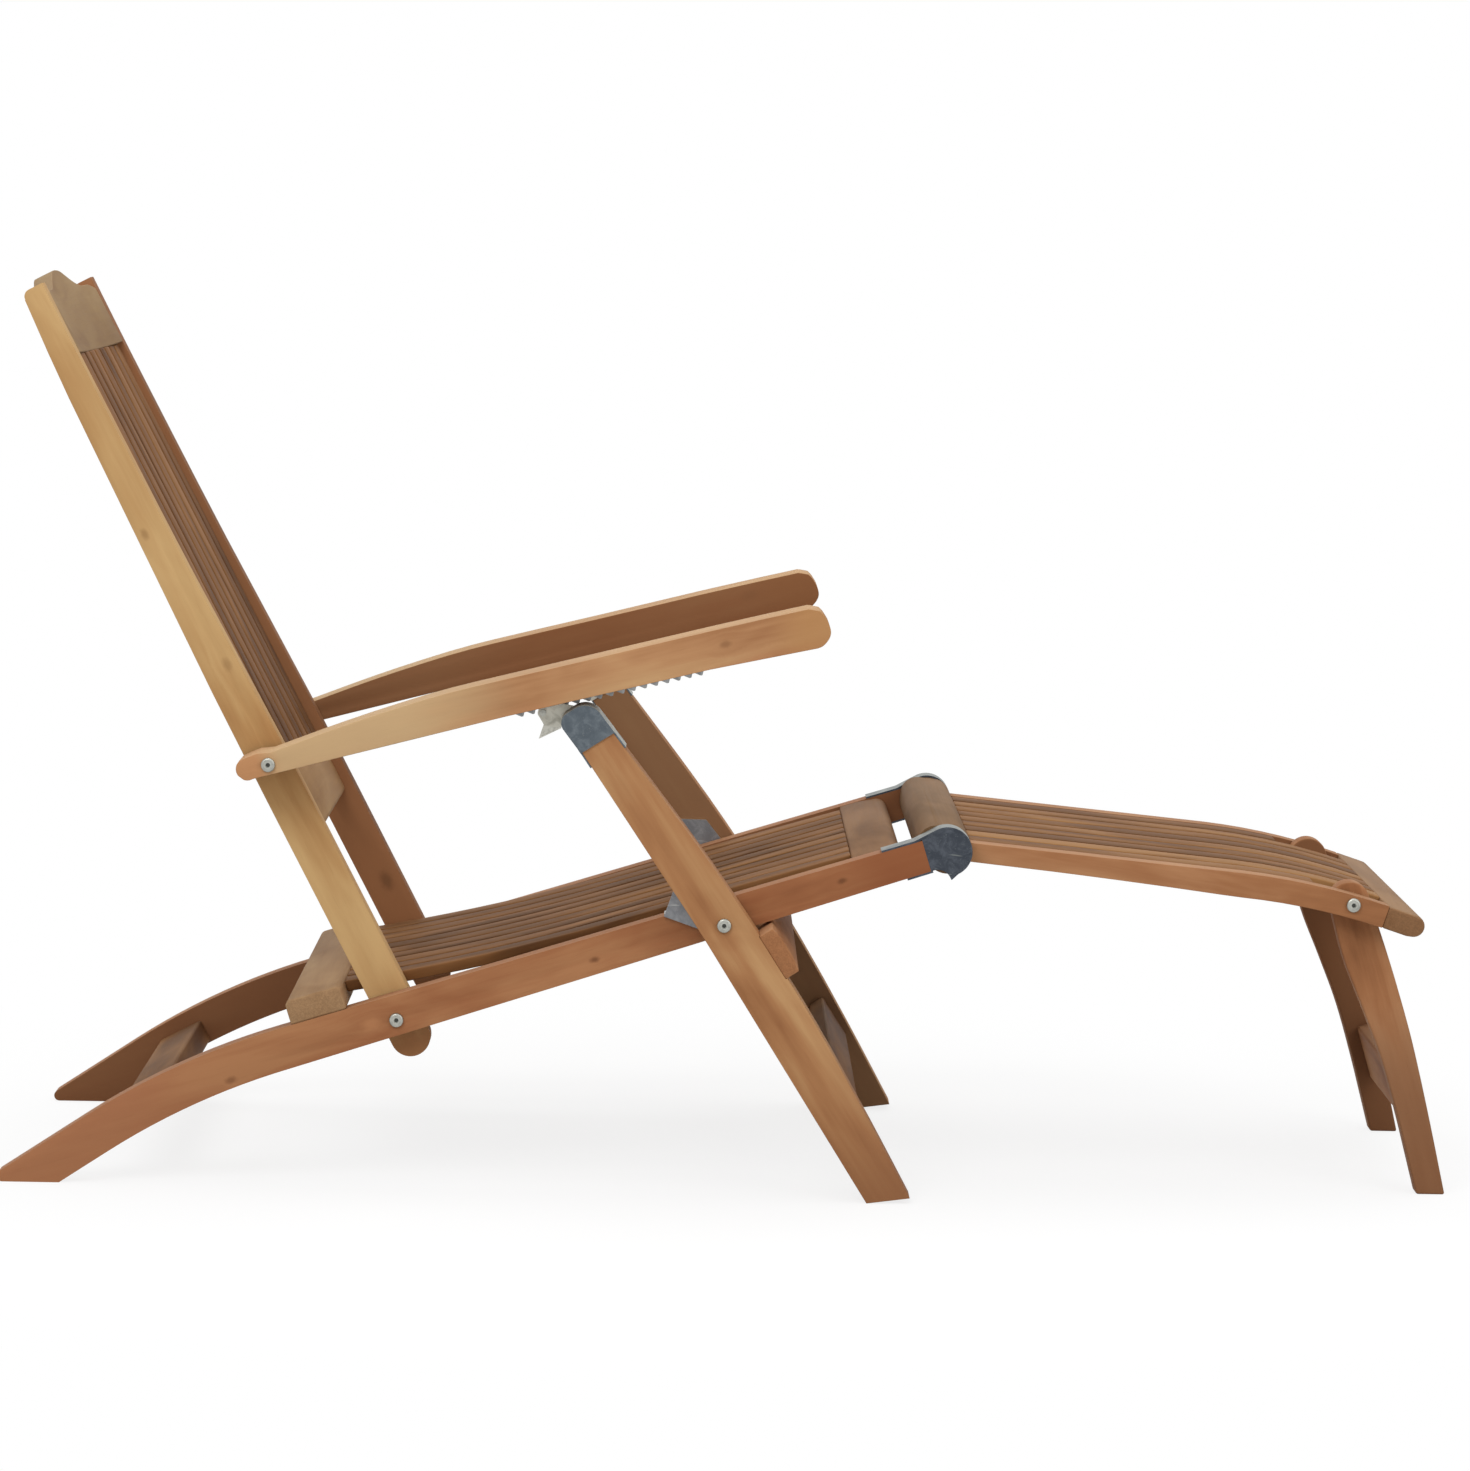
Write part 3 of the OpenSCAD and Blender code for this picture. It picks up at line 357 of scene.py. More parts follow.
@dataclass(frozen=True)
class Teak:
    """Sawn and sanded teak, more or less weathered, with a painted highlight on faces that look up and
    painted shading on faces that look to the chair's middle.
    """

    name: str
    body: Colour
    streak: Colour
    pale: Colour
    lie: Lie = Lie.ALONG
    slope: float = 0.0
    pitch: float = 0.0
    seed: float = 0.0
    contrast: float = 1.0
    board_share: float = 0.5
    # Side says which faces look to the chair's middle; these get painted shading, a darker painted shade on
    # most pieces.
    side: float = 0.0
    inner: Colour = (0.0, 0.0, 0.0)
    inner_share: float = 0.85
    # Share of the pale tone on faces that look up: partly bleach, partly a painted highlight.
    bleach: float = 0.35
    roughness: float = 0.68
    tints: Tuple[Tint, ...] = ()
    knots: Tuple[Knot, ...] = ()

    def make(self) -> bpy.types.Material:
        """Writes the timber's material.

        Returns:
            The material.
        """
        s = Paint(self.name, self.body)
        spot = s.place()
        board = self._board(s, spot)
        turned = self._turned(s, spot)
        bent, marks = self._knots(s, turned)
        along, across, over = (board * step for step in BOARD_SHIFT)
        shift = s.use("ShaderNodeCombineXYZ", {}, {"X": along + self.seed, "Y": across, "Z": over})
        grain = s.use("ShaderNodeVectorMath", {"operation": "ADD"}, {0: bent, 1: shift})
        figure, bands, pores, cloud = (
            self._layer(s, grain, layer) for layer in (FIGURE, BANDS, PORES, CLOUD))
        tone = (figure - 0.5) * FIGURE.share + (bands - 0.5) * BANDS.share + (cloud - 0.5) * CLOUD.share
        tone = tone + (board - 0.5) * self.board_share
        light = (tone * self.contrast + 0.5).held()
        stops = ((0.0, self.streak), (0.3, mixed(self.streak, self.body, 0.6)),
                 (0.52, self.body), (1.0, self.pale))
        colour = s.use("ShaderNodeValToRGB", {"stops": stops}, {"Fac": light})
        colour = self._tinted(s, turned, cloud, colour)
        colour = s.blend(figure.step(0.6, 0.75) * 0.22 * self.contrast, colour, self.streak)
        colour = s.blend(pores.step(0.62, 0.82) * 0.2, colour, scaled(self.streak, 0.5))
        colour = self._faces(s, spot, colour)
        for mark, knot in marks:
            shade = scaled(self.pale, 1.25) if knot.pale else scaled(self.streak, 0.6)
            colour = s.blend(mark * knot.depth, colour, shade)
        rough = 0.14 * (bands - 0.5) + 0.08 * (pores - 0.5) + self.roughness
        height = bands * 0.5 + pores * 0.5
        bump = s.use("ShaderNodeBump", {}, {"Strength": 0.1, "Distance": 0.0005, "Height": height}, "Normal")
        shader = s.use("ShaderNodeBsdfPrincipled", {}, {
            "Base Color": colour, "Roughness": rough, "Normal": bump, "IOR": 1.45,
            "Specular IOR Level": 0.14})
        return s.finish(shader)

    @staticmethod
    def _layer(s: Sheet, grain: Link, layer: Layer) -> Link:
        """Adds the noise of one layer, drawn out along the grain."""
        draw = (layer.draw, 1.0, 1.0)
        place = s.use("ShaderNodeVectorMath", {"operation": "MULTIPLY"}, {0: grain, 1: draw})
        return s.noise(place, layer.scale, layer.detail, layer.rough, layer.twist)

    def _board(self, s: Sheet, spot: Link) -> Link:
        """Gives each board of a row its own number.

        Args:
            s: the sheet.
            spot: the position on the piece.

        Returns:
            A number from 0 to 1 that is the same all over a board.
        """
        number: Operand = self.seed + 0.5
        if self.pitch > 0:
            across = s.use("ShaderNodeSeparateXYZ", {}, {"Vector": spot}, "Y")
            row = across / self.pitch + 0.5 * (self.seed % 2) + ROWS_BEFORE
            number = s.use("ShaderNodeMath", {"operation": "FLOOR"}, {0: row}) + self.seed
        return s.use("ShaderNodeTexWhiteNoise", {"noise_dimensions": "1D"}, {"W": number}, "Value")

    def _turned(self, s: Sheet, spot: Link) -> Link:
        """Turns the position so that X runs along the grain."""
        angle = (0.0, 0.0, -math.pi / 2) if self.lie is Lie.ACROSS else (0.0, math.radians(self.slope), 0.0)
        return s.use("ShaderNodeMapping", {"vector_type": "POINT"}, {"Vector": spot, "Rotation": angle})

    def _knots(self, s: Sheet, turned: Link) -> Tuple[Link, List[Tuple[Link, Knot]]]:
        """Bends the grain round the knots.

        Args:
            s: the sheet.
            turned: position with X along the grain.

        Returns:
            The bent position, and for each knot the place where it shows.
        """
        marks: List[Tuple[Link, Knot]] = []
        place = turned
        slope = math.radians(self.slope)
        for knot in self.knots:
            along = knot.x * math.cos(slope) + knot.z * math.sin(slope)
            over = knot.z * math.cos(slope) - knot.x * math.sin(slope)
            x = s.use("ShaderNodeSeparateXYZ", {}, {"Vector": turned}, "X") - along
            z = s.use("ShaderNodeSeparateXYZ", {}, {"Vector": turned}, "Z") - over
            wobble = s.noise(turned, 260.0, 1.0) * 0.5 + 0.75
            gap = ((x * x * 0.35 + z * z) ** 0.5) * wobble
            mark = 1 - gap.step(0.2 * knot.radius, 1.1 * knot.radius)
            pull = (1 - gap.step(0.0, 3.5 * knot.radius)) * z * -0.7
            shift = s.use("ShaderNodeCombineXYZ", {}, {"X": 0.0, "Y": 0.0, "Z": pull})
            place = s.use("ShaderNodeVectorMath", {"operation": "ADD"}, {0: place, 1: shift})
            marks.append((mark, knot))
        return place, marks

    def _tinted(self, s: Sheet, turned: Link, cloud: Link, colour: Link) -> Link:
        """Lays the tints over the timber's colour.

        Args:
            s: the sheet.
            turned: position with X along the grain.
            cloud: widest layer of the figure, by which a tint's edge wanders.
            colour: the colour so far.

        Returns:
            The tinted colour.
        """
        for tint in self.tints:
            way = s.use("ShaderNodeSeparateXYZ", {}, {"Vector": turned}, tint.way.value)
            wander = (cloud - 0.5) * abs(tint.end - tint.start) * 1.2
            colour = s.blend((way + wander).step(tint.start, tint.end) * tint.share, colour, tint.colour)
        return colour

    def _faces(self, s: Sheet, spot: Link, colour: Link) -> Link:
        """Bleaches what faces up and paints a highlight on it, paints shading on inner faces and darkens end
        grain.

        Args:
            s: the sheet.
            spot: the position on the piece.
            colour: the colour so far.

        Returns:
            The colour with its faces told apart.
        """
        nx, ny, nz = s.facing()
        # Faces that look up turn pale: partly bleach, partly a painted highlight.
        colour = s.blend(nz.step(0.55, 0.95) * self.bleach, colour, mixed(self.pale, BLEACH_AND_TOP_LIGHT_TONE, 0.25))
        if self.side:
            # Painted shading on the faces that look to the chair's middle.
            colour = s.blend((ny * -self.side).step(0.3, 0.9) * self.inner_share, colour, self.inner)
        if self.lie is Lie.ACROSS:
            end = ny.size()
        else:
            slope = math.radians(self.slope)
            end = (nx * math.cos(slope) + nz * math.sin(slope)).size()
        rings = s.noise(spot, 420.0, 3.0, 0.6, 1.2)
        ends = s.blend(rings.step(0.35, 0.7), scaled(self.body, 0.8), scaled(self.body, 1.15))
        return s.blend(end.step(0.86, 0.97) * 0.75, colour, ends)


EAR_BARE = srgb(196, 194, 182)
EAR_DULL = srgb(164, 162, 150)
EAR_BLUR = 0.0004


@dataclass(frozen=True)
class Zinc:
    """Galvanised sheet: dark mottled flat faces with scuffs, and pale bends and edges that are partly worn
    zinc and partly a painted highlight.

    The sheet is bare within a distance of the chair's middle, in metres, where one is given.
    """

    name: str
    face: Colour
    bloom: Colour
    edge: Colour
    bright_within: float = 0.0

    def make(self) -> bpy.types.Material:
        """Writes the sheet's material.

        Returns:
            The material.
        """
        s = Paint(self.name, self.face)
        spot = s.place()
        cloud = s.noise(spot, 75.0, 4.0, 0.65, 0.8)
        speck = s.noise(spot, 520.0, 3.0, 0.6)
        drawn = s.use("ShaderNodeMapping", {"vector_type": "POINT"},
                      {"Vector": spot, "Rotation": (0.0, 0.6, 0.0), "Scale": (0.12, 1.0, 1.0)})
        scuff = s.noise(drawn, 260.0, 2.0, 0.5, 0.3)
        patch = s.noise(spot, 38.0, 1.0)
        flat = s.facing()[1].size().step(0.6, 0.95)
        body = s.blend(cloud.step(0.38, 0.7), self.face, self.bloom)
        body = s.blend(speck.step(0.62, 0.78) * 0.45, body, self.edge)
        body = s.blend(scuff.step(0.66, 0.76) * patch.step(0.5, 0.65) * 0.7, body, self.edge)
        # Bends and edges turn pale: partly worn zinc, partly a painted highlight.
        bend_wear_and_highlight = s.blend(cloud.step(0.4, 0.75) * 0.6, self.edge, self.bloom)
        colour = s.blend(flat, bend_wear_and_highlight, body)
        if self.bright_within:
            across = s.use("ShaderNodeSeparateXYZ", {}, {"Vector": spot}, "Y").size()
            ear = 1 - across.step(self.bright_within - EAR_BLUR, self.bright_within + EAR_BLUR)
            colour = s.blend(ear, colour, s.blend(cloud.step(0.4, 0.7), EAR_BARE, EAR_DULL))
        rough = 0.25 * (cloud - 0.5) + 0.46
        height = cloud + speck * 0.3
        bump = s.use("ShaderNodeBump", {}, {"Strength": 0.12, "Distance": 0.0005, "Height": height}, "Normal")
        shader = s.use("ShaderNodeBsdfPrincipled", {}, {
            "Base Color": colour, "Roughness": rough, "Metallic": 0.75, "Normal": bump})
        return s.finish(shader)


# Radii of the painted shade in a bolt's socket and of the painted highlight ring round it.
SOCKET_SHADE_EDGE = (0.0019, 0.0024)
HIGHLIGHT_RING_INNER = (0.0022, 0.0027)
HIGHLIGHT_RING_OUTER = (0.0034, 0.0042)


@dataclass(frozen=True)
class Steel:
    """Bright steel, a little tarnished; each head that is listed gets a painted shade in its socket and a
    painted highlight ring round it.
    """

    name: str
    body: Colour
    dark: Colour
    roughness: float = 0.3
    heads: Tuple[Tuple[float, float], ...] = ()

    def make(self) -> bpy.types.Material:
        """Writes the steel's material.

        Returns:
            The material.
        """
        s = Paint(self.name, self.body)
        spot = s.place()
        cloud = s.noise(spot, 160.0, 3.0, 0.6)
        speck = s.noise(spot, 900.0, 2.0, 0.6)
        colour = s.blend(cloud.step(0.4, 0.75) * 0.6, self.body, self.dark)
        x, z = (s.use("ShaderNodeSeparateXYZ", {}, {"Vector": spot}, axis) for axis in "XZ")
        for middle, height in self.heads:
            away = ((x - middle) ** 2 + (z - height) ** 2) ** 0.5
            highlight_ring = away.step(*HIGHLIGHT_RING_INNER) * (1 - away.step(*HIGHLIGHT_RING_OUTER))
            # The socket of each head is filled with painted shade.
            colour = s.blend((1 - away.step(*SOCKET_SHADE_EDGE)) * 0.9, colour, scaled(self.dark, 0.12))
            # A painted highlight ring round the socket.
            colour = s.blend(highlight_ring * 0.5, colour, scaled(self.body, 1.2))
        rough = 0.2 * (cloud - 0.5) + self.roughness
        bump = s.use("ShaderNodeBump", {}, {"Strength": 0.06, "Distance": 0.0003, "Height": speck}, "Normal")
        shader = s.use("ShaderNodeBsdfPrincipled", {}, {
            "Base Color": colour, "Roughness": rough, "Metallic": 0.9, "Normal": bump})
        return s.finish(shader)


CUP_ZINC = Zinc("cup_zinc", srgb(58, 63, 71), srgb(82, 87, 95), srgb(136, 140, 136))
CAP_ZINC = Zinc("cap_zinc", srgb(84, 92, 99), srgb(106, 114, 120), srgb(160, 164, 156), 0.2565)
PLATE_ZINC = Zinc("plate_zinc", srgb(122, 124, 128), srgb(146, 148, 150), srgb(186, 188, 186))
BOLT_HEADS = ((-0.346975, 0.179028), (-0.005014, 0.291013), (-0.481003, 0.450078), (0.658896, 0.314022))
BOLT_STEEL = Steel("bolt_steel", srgb(172, 172, 164), srgb(120, 122, 116), 0.36, BOLT_HEADS)
CATCH_STEEL = Steel("catch_steel", srgb(196, 194, 184), srgb(140, 140, 132), 0.34)
RACK_STEEL = Steel("rack_steel", srgb(160, 162, 162), srgb(96, 98, 98), 0.4)


@dataclass(frozen=True)
class Carve:
    """Top edge and round tail of an arm, seen from the side, in a frame that lies along it.

    The start is in metres, the angle in degrees, and the rest in millimetres. Points further
    than the shoulder above the middle line are put on the high line, and points behind the
    heel's start on its circle, apart from those in a hole, given by its middle and radius.
    """

    start: Tuple[float, float]
    angle: float
    high: Tuple[Tuple[float, float], ...]
    heel: Tuple[float, float, float]
    heel_from: float
    holes: Tuple[Tuple[float, float, float], ...]
    shoulder: float = 5.0

    def __call__(self, spot: Vector) -> Vector:
        """Moves one point of the arm onto its outline.

        Args:
            spot: the point as the frame has it, in metres.

        Returns:
            The point as it is shown.
        """
        turn = math.radians(self.angle)
        x, z = (spot.x - self.start[0]) * MM, (spot.z - self.start[1]) * MM
        along = x * math.cos(turn) + z * math.sin(turn)
        over = z * math.cos(turn) - x * math.sin(turn)
        if any(math.hypot(along - a, over - b) < r for a, b, r in self.holes):
            return spot
        if along < self.heel_from:
            middle, height, radius = self.heel
            away = math.atan2(over - height, along - middle)
            along, over = middle + radius * math.cos(away), height + radius * math.sin(away)
        elif over > self.shoulder and self.high[0][0] <= along <= self.high[-1][0]:
            over = self._height(along)
        return Vector((self.start[0] + (along * math.cos(turn) - over * math.sin(turn)) / MM, spot.y,
                       self.start[1] + (along * math.sin(turn) + over * math.cos(turn)) / MM))

    def _height(self, along: float) -> float:
        """Reads the high line.

        Args:
            along: distance along the arm.

        Returns:
            The line's height there.
        """
        for (a, low), (b, high) in zip(self.high, self.high[1:]):
            if along <= b:
                share = max(0.0, (along - a) / (b - a))
                return low + (high - low) * share
        return self.high[-1][1]


ARM_CARVE = Carve((-0.481003, 0.450078), 14.0,
                  high=((-6.0, 10.6), (20.0, 13.9), (66.0, 19.8), (100.0, 23.6), (138.0, 27.0),
                        (175.0, 29.8), (210.0, 31.3), (273.0, 31.6), (344.0, 31.7), (406.0, 32.1),
                        (473.0, 32.6), (539.0, 32.4), (583.0, 31.9), (594.0, 27.0)),
                  heel=(-22.0, 0.5, 12.0), heel_from=-16.0, holes=((0.0, 0.0, 6.0),))


@dataclass
class Joinery:
    """Pieces of one sub-assembly that share a body, with the tools that dress them."""

    body: str

    def build(self, steel: bpy.types.Material) -> None:
        """Dresses every piece; each sub-assembly says how."""
        raise NotImplementedError

    def timber(self, node: str, finish: Teak, ease: float = TIMBER_EASE,
               carve: Optional[Carve] = None) -> bpy.types.Object:
        """Rounds the edges of a timber and gives it its finish.

        Args:
            node: the timber's name in the frame.
            finish: the teak that it is made of.
            ease: radius of the eased edges, in metres.
            carve: its fine outline, where it has one.

        Returns:
            The timber that is shown.
        """
        source = FRAME["nodes"][node]
        mesh = bpy.data.meshes.new(node + "_timber")
        bm = bmesh.new()
        bm.from_mesh(source.data)
        bmesh.ops.remove_doubles(bm, verts=bm.verts, dist=WELD_DISTANCE)
        if carve:
            for vert in bm.verts:
                vert.co = carve(vert.co)
        bmesh.ops.dissolve_limit(bm, angle_limit=FLAT_ANGLE, verts=bm.verts, edges=bm.edges)
        sharp = [e for e in bm.edges if len(e.link_faces) == 2 and e.calc_face_angle(0.0) > SHARP_ANGLE]
        bmesh.ops.bevel(bm, geom=sharp, offset=ease, offset_type="OFFSET", segments=3, profile=0.5,
                        affect="EDGES", clamp_overlap=True)
        bm.to_mesh(mesh)
        bm.free()
        piece = bpy.data.objects.new(node + "_timber", mesh)
        bpy.context.scene.collection.objects.link(piece)
        mesh.shade_smooth()
        mesh.set_sharp_from_angle(angle=SMOOTH_ANGLE)
        mesh.materials.append(finish.make())
        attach(piece, self.body)
        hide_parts(node)
        slot_of(node)
        log.info("timber %s: %d faces", node, len(mesh.polygons))
        return piece

    def metal(self, node: str, material: bpy.types.Material) -> bpy.types.Object:
        """Gives a metal piece of the frame its finish.

        Args:
            node: the piece's name in the frame.
            material: its finish.

        Returns:
            The piece.
        """
        piece = FRAME["nodes"][node]
        piece.data.materials.clear()
        piece.data.materials.append(material)
        log.info("metal %s", node)
        return piece


def slot_of(node: str) -> str:
    """Finds the record's material slot of a node.

    Args:
        node: the node's name in the frame.

    Returns:
        The slot's name, or the node's own where the record has none.
    """
    for part in FRAME["record"]["subparts"]:
        if part["node"] == node:
            return part.get("material_slot", node)
    return node


HONEY = (srgb(180, 140, 92), srgb(158, 112, 68), srgb(196, 160, 110))
AMBER = (srgb(166, 118, 78), srgb(138, 90, 56), srgb(184, 142, 98))
RUSSET = (srgb(154, 104, 68), srgb(122, 78, 48), srgb(174, 126, 88))
RAIL = (srgb(150, 97, 63), srgb(124, 76, 48), srgb(168, 118, 80))
DRIFT = (srgb(126, 86, 50), srgb(94, 60, 33), srgb(152, 110, 68))
DUSK = (srgb(117, 78, 44), srgb(80, 50, 26), srgb(140, 98, 59))
FAWN = (srgb(154, 120, 86), srgb(126, 92, 62), srgb(172, 140, 104))
UMBER = (srgb(116, 82, 54), srgb(92, 62, 38), srgb(136, 100, 68))
# A darker copy of HONEY for the far upright: painted shade, as that upright stands in shade.
HONEY_SHADED = (srgb(138, 94, 62), srgb(116, 78, 50), srgb(150, 108, 74))
CREST = (srgb(148, 120, 84), srgb(128, 98, 68), srgb(166, 140, 104))
LOWER_RAIL = (srgb(158, 122, 82), srgb(130, 94, 60), srgb(178, 146, 104))
ARM = (srgb(178, 132, 92), srgb(152, 104, 68), srgb(194, 154, 110))
HINGE_BAR = (srgb(108, 81, 55), srgb(88, 62, 40), srgb(130, 100, 72))
NOSE = (srgb(126, 90, 60), srgb(100, 68, 44), srgb(146, 110, 78))
# Painted shade laid on the faces that look to the chair's middle.
PAINTED_SHADE = srgb(118, 78, 50)
FIRED = srgb(132, 75, 45)


def teak(name: str, shades: Shades, **more: object) -> Teak:
    """Makes a teak finish from a set of three shades."""
    return Teak(name, shades[0], shades[1], shades[2], **more)


@dataclass
class SeatFrame(Joinery):
    """Side rails that run down into the rear feet, their cross pieces, the slats and the cups."""

    slope: float = 17.4
    slat_pitch: float = 0.0402

    def build(self, steel: bpy.types.Material) -> None:
        """Dresses every piece of the seat.

        Args:
            steel: finish of the bolts, pins and washers.
        """
        shade = dict(slope=self.slope, inner=PAINTED_SHADE)
        red_front = Tint(Way.ALONG, 0.18, 0.27, FIRED, 0.75)
        red_foot = Tint(Way.ALONG, -0.38, -0.62, srgb(168, 114, 80), 0.7)
        marks = (Knot(-0.3735, 0.1745, 0.008, 0.5, True), Knot(-0.14, 0.2465, 0.004),
                 Knot(0.118, 0.3345, 0.004), Knot(-0.52, 0.112, 0.005, 0.5))
        self.timber("seat_rail_right", teak("rail_near", RAIL, seed=1.0, side=-1.0,
                                            tints=(red_front, red_foot), knots=marks, **shade))
        self.timber("seat_rail_left", teak("rail_far", RAIL, seed=2.0, side=1.0, tints=(red_front,), **shade))
        crosses = (("rear_foot_stretcher", DRIFT), ("seat_rear_rail", FAWN), ("seat_front_rail", UMBER))
        for i, (node, shades) in enumerate(crosses):
            self.timber(node, teak(node + "_wood", shades, lie=Lie.ACROSS, seed=3.0 + i, bleach=0.15))
        self.timber("seat_slats", teak("seat_slat_wood", DUSK, slope=self.slope, pitch=self.slat_pitch,
                                       seed=6.0, contrast=1.2, board_share=0.5, bleach=0.12), SLAT_EASE)
        for node in ("hinge_cup_left", "hinge_cup_right"):
            self.metal(node, CUP_ZINC.make())
        for node in ("back_washers", "leg_washers"):
            self.metal(node, steel)


@dataclass
class Back(Joinery):
    """Uprights, crest, lower cross rail and slats."""

    slope: float = 117.6
    slat_pitch: float = 0.044

    def build(self, steel: bpy.types.Material) -> None:
        """Dresses every piece of the back.

        Args:
            steel: finish of the bolts, pins and washers.
        """
        marks = (Knot(-0.617, 0.683, 0.005, 0.45), Knot(-0.53, 0.548, 0.006, 0.35))
        foot = Tint(Way.ALONG, 0.335, 0.29, srgb(140, 92, 58), 0.85)
        self.timber("upright_right", teak("upright_near", HONEY, slope=self.slope, seed=11.0, contrast=0.85,
                                          side=-1.0, inner=PAINTED_SHADE, knots=marks, tints=(foot,)), FRAME_EASE)
        far = (Knot(-0.386, 0.265, 0.009, 0.5), Knot(-0.345, 0.205, 0.007, 0.7))
        # The far upright takes the darker copy of honey as painted shade, with lighter painted shading on its
        # inner face.
        self.timber("upright_left", teak("upright_far", HONEY_SHADED, slope=self.slope, seed=12.0, side=1.0,
                                         bleach=0.0, inner=srgb(158, 108, 72), inner_share=0.7,
                                         knots=far), FRAME_EASE)
        self.timber("crest_rail", teak("crest_wood", CREST, lie=Lie.ACROSS, seed=13.0, contrast=0.8,
                                       bleach=0.3), FRAME_EASE)
        self.timber("back_lower_rail", teak("lower_rail_wood", LOWER_RAIL, lie=Lie.ACROSS, seed=14.0,
                                            contrast=0.8))
        self.timber("back_slats", teak("back_slat_wood", DUSK, slope=self.slope, pitch=self.slat_pitch,
                                       seed=15.0, contrast=1.1, board_share=0.45, bleach=0.0), SLAT_EASE)
        self.metal("back_bolts", steel)


@dataclass
class Arms(Joinery):
    """The two arms with their racks."""

    side: str = "left"
    slope: float = 14.0

    def build(self, steel: bpy.types.Material) -> None:
        """Dresses one arm.

        Args:
            steel: finish of the bolts, pins and washers.
        """
        near = self.side == "right"
        warm = Tint(Way.OVER, 0.556, 0.544, srgb(180, 124, 86), 0.55)
        nose = Tint(Way.ALONG, 0.16, 0.22, srgb(178, 132, 84), 0.6)
        sap = Tint(Way.ALONG, -0.08, -0.22, srgb(197, 168, 126), 0.75)
        tail = Tint(Way.ALONG, -0.345, -0.375, srgb(182, 126, 84), 0.8)
        marks = (Knot(-0.009, 0.584, 0.005, 0.5), Knot(0.045, 0.57, 0.006, 0.18))
        knots = marks if near else (Knot(0.022, 0.595, 0.008, 0.3),)
        wood = teak("arm_wood_" + self.side, ARM, slope=self.slope, seed=21.0 if near else 22.0,
                    side=-1.0 if near else 1.0, inner=srgb(122, 76, 46), bleach=0.55,
                    tints=(warm, nose, sap, tail), knots=knots)
        self.timber("arm_" + self.side, wood, ARM_EASE, ARM_CARVE)
        self.metal("rack_" + self.side, RACK_STEEL.make())
        self.metal("arm_bolt_" + self.side, steel)


@dataclass
class FrontLegs(Joinery):
    """Front legs with caps, catches, stop plates and stretchers."""

    slope: float = -57.0

    def build(self, steel: bpy.types.Material) -> None:
        """Dresses the leg frame.

        Args:
            steel: finish of the bolts, pins and washers.
        """
        low = Tint(Way.ALONG, -0.08, 0.12, srgb(140, 94, 64), 0.7)
        self.timber("front_leg_right", teak("leg_near", AMBER, slope=self.slope, seed=31.0, side=-1.0,
                                            inner=PAINTED_SHADE, tints=(low,)), FRAME_EASE)
        self.timber("front_leg_left", teak("leg_far", AMBER, slope=self.slope, seed=32.0, side=1.0,
                                           inner=srgb(128, 94, 66)), FRAME_EASE)
        self.timber("leg_upper_stretcher", teak("upper_stretcher_wood", RUSSET, lie=Lie.ACROSS, seed=33.0))
        self.timber("leg_lower_stretcher", teak("lower_stretcher_wood", DRIFT, lie=Lie.ACROSS, seed=34.0))
        for node in ("leg_cap_left", "leg_cap_right"):
            self.metal(node, CAP_ZINC.make())
        for node in ("stop_plate_left", "stop_plate_right"):
            self.metal(node, PLATE_ZINC.make())
        for node in ("leg_bolts", "catch_pins"):
            self.metal(node, steel)


@dataclass
class FootRest(Joinery):
    """Hinge bar, side rails, nose and slats of the foot rest."""

    slope: float = -8.0
    slat_pitch: float = 0.0438

    def build(self, steel: bpy.types.Material) -> None:
        """Dresses the foot rest.

        Args:
            steel: finish of the bolts, pins and washers.
        """
        self.timber("hinge_bar", teak("hinge_bar_wood", HINGE_BAR, lie=Lie.ACROSS, seed=41.0, contrast=0.8,
                                      bleach=0.1))
        shade = dict(slope=self.slope, inner=PAINTED_SHADE)
        self.timber("rest_rail_right", teak("rest_rail_near", RUSSET, seed=42.0, side=-1.0, **shade))
        self.timber("rest_rail_left", teak("rest_rail_far", RUSSET, seed=43.0, side=1.0, **shade))
        self.timber("nose_rail", teak("nose_wood", NOSE, lie=Lie.ACROSS, seed=44.0))
        self.timber("rest_slats", teak("rest_slat_wood", DRIFT, slope=self.slope, pitch=self.slat_pitch,
                                       seed=45.0, contrast=1.1, board_share=0.8, bleach=0.1), SLAT_EASE)
        self.metal("prop_bolts", steel)
        self.metal("prop_washers", steel)


@dataclass
class FootRestLegs(Joinery):
    """The tapered legs of the foot rest and their stretcher."""

    slope: float = -73.3

    def build(self, steel: bpy.types.Material) -> None:
        """Dresses the legs of the foot rest.

        Args:
            steel: not used.
        """
        foot = Tint(Way.ALONG, 0.0, 0.15, srgb(124, 86, 60), 0.7)
        shade = dict(slope=self.slope, inner=PAINTED_SHADE, tints=(foot,))
        self.timber("prop_right", teak("prop_near", RUSSET, seed=51.0, side=-1.0, **shade))
        self.timber("prop_left", teak("prop_far", RUSSET, seed=52.0, side=1.0, **shade))
        self.timber("prop_stretcher", teak("prop_stretcher_wood", RUSSET, lie=Lie.ACROSS, seed=53.0))


PAPER = (0.9, 0.9, 0.9)
PAPER_BOUNCE = (0.62, 0.62, 0.62)
PAPER_SEEN = (0.97, 0.97, 0.97)


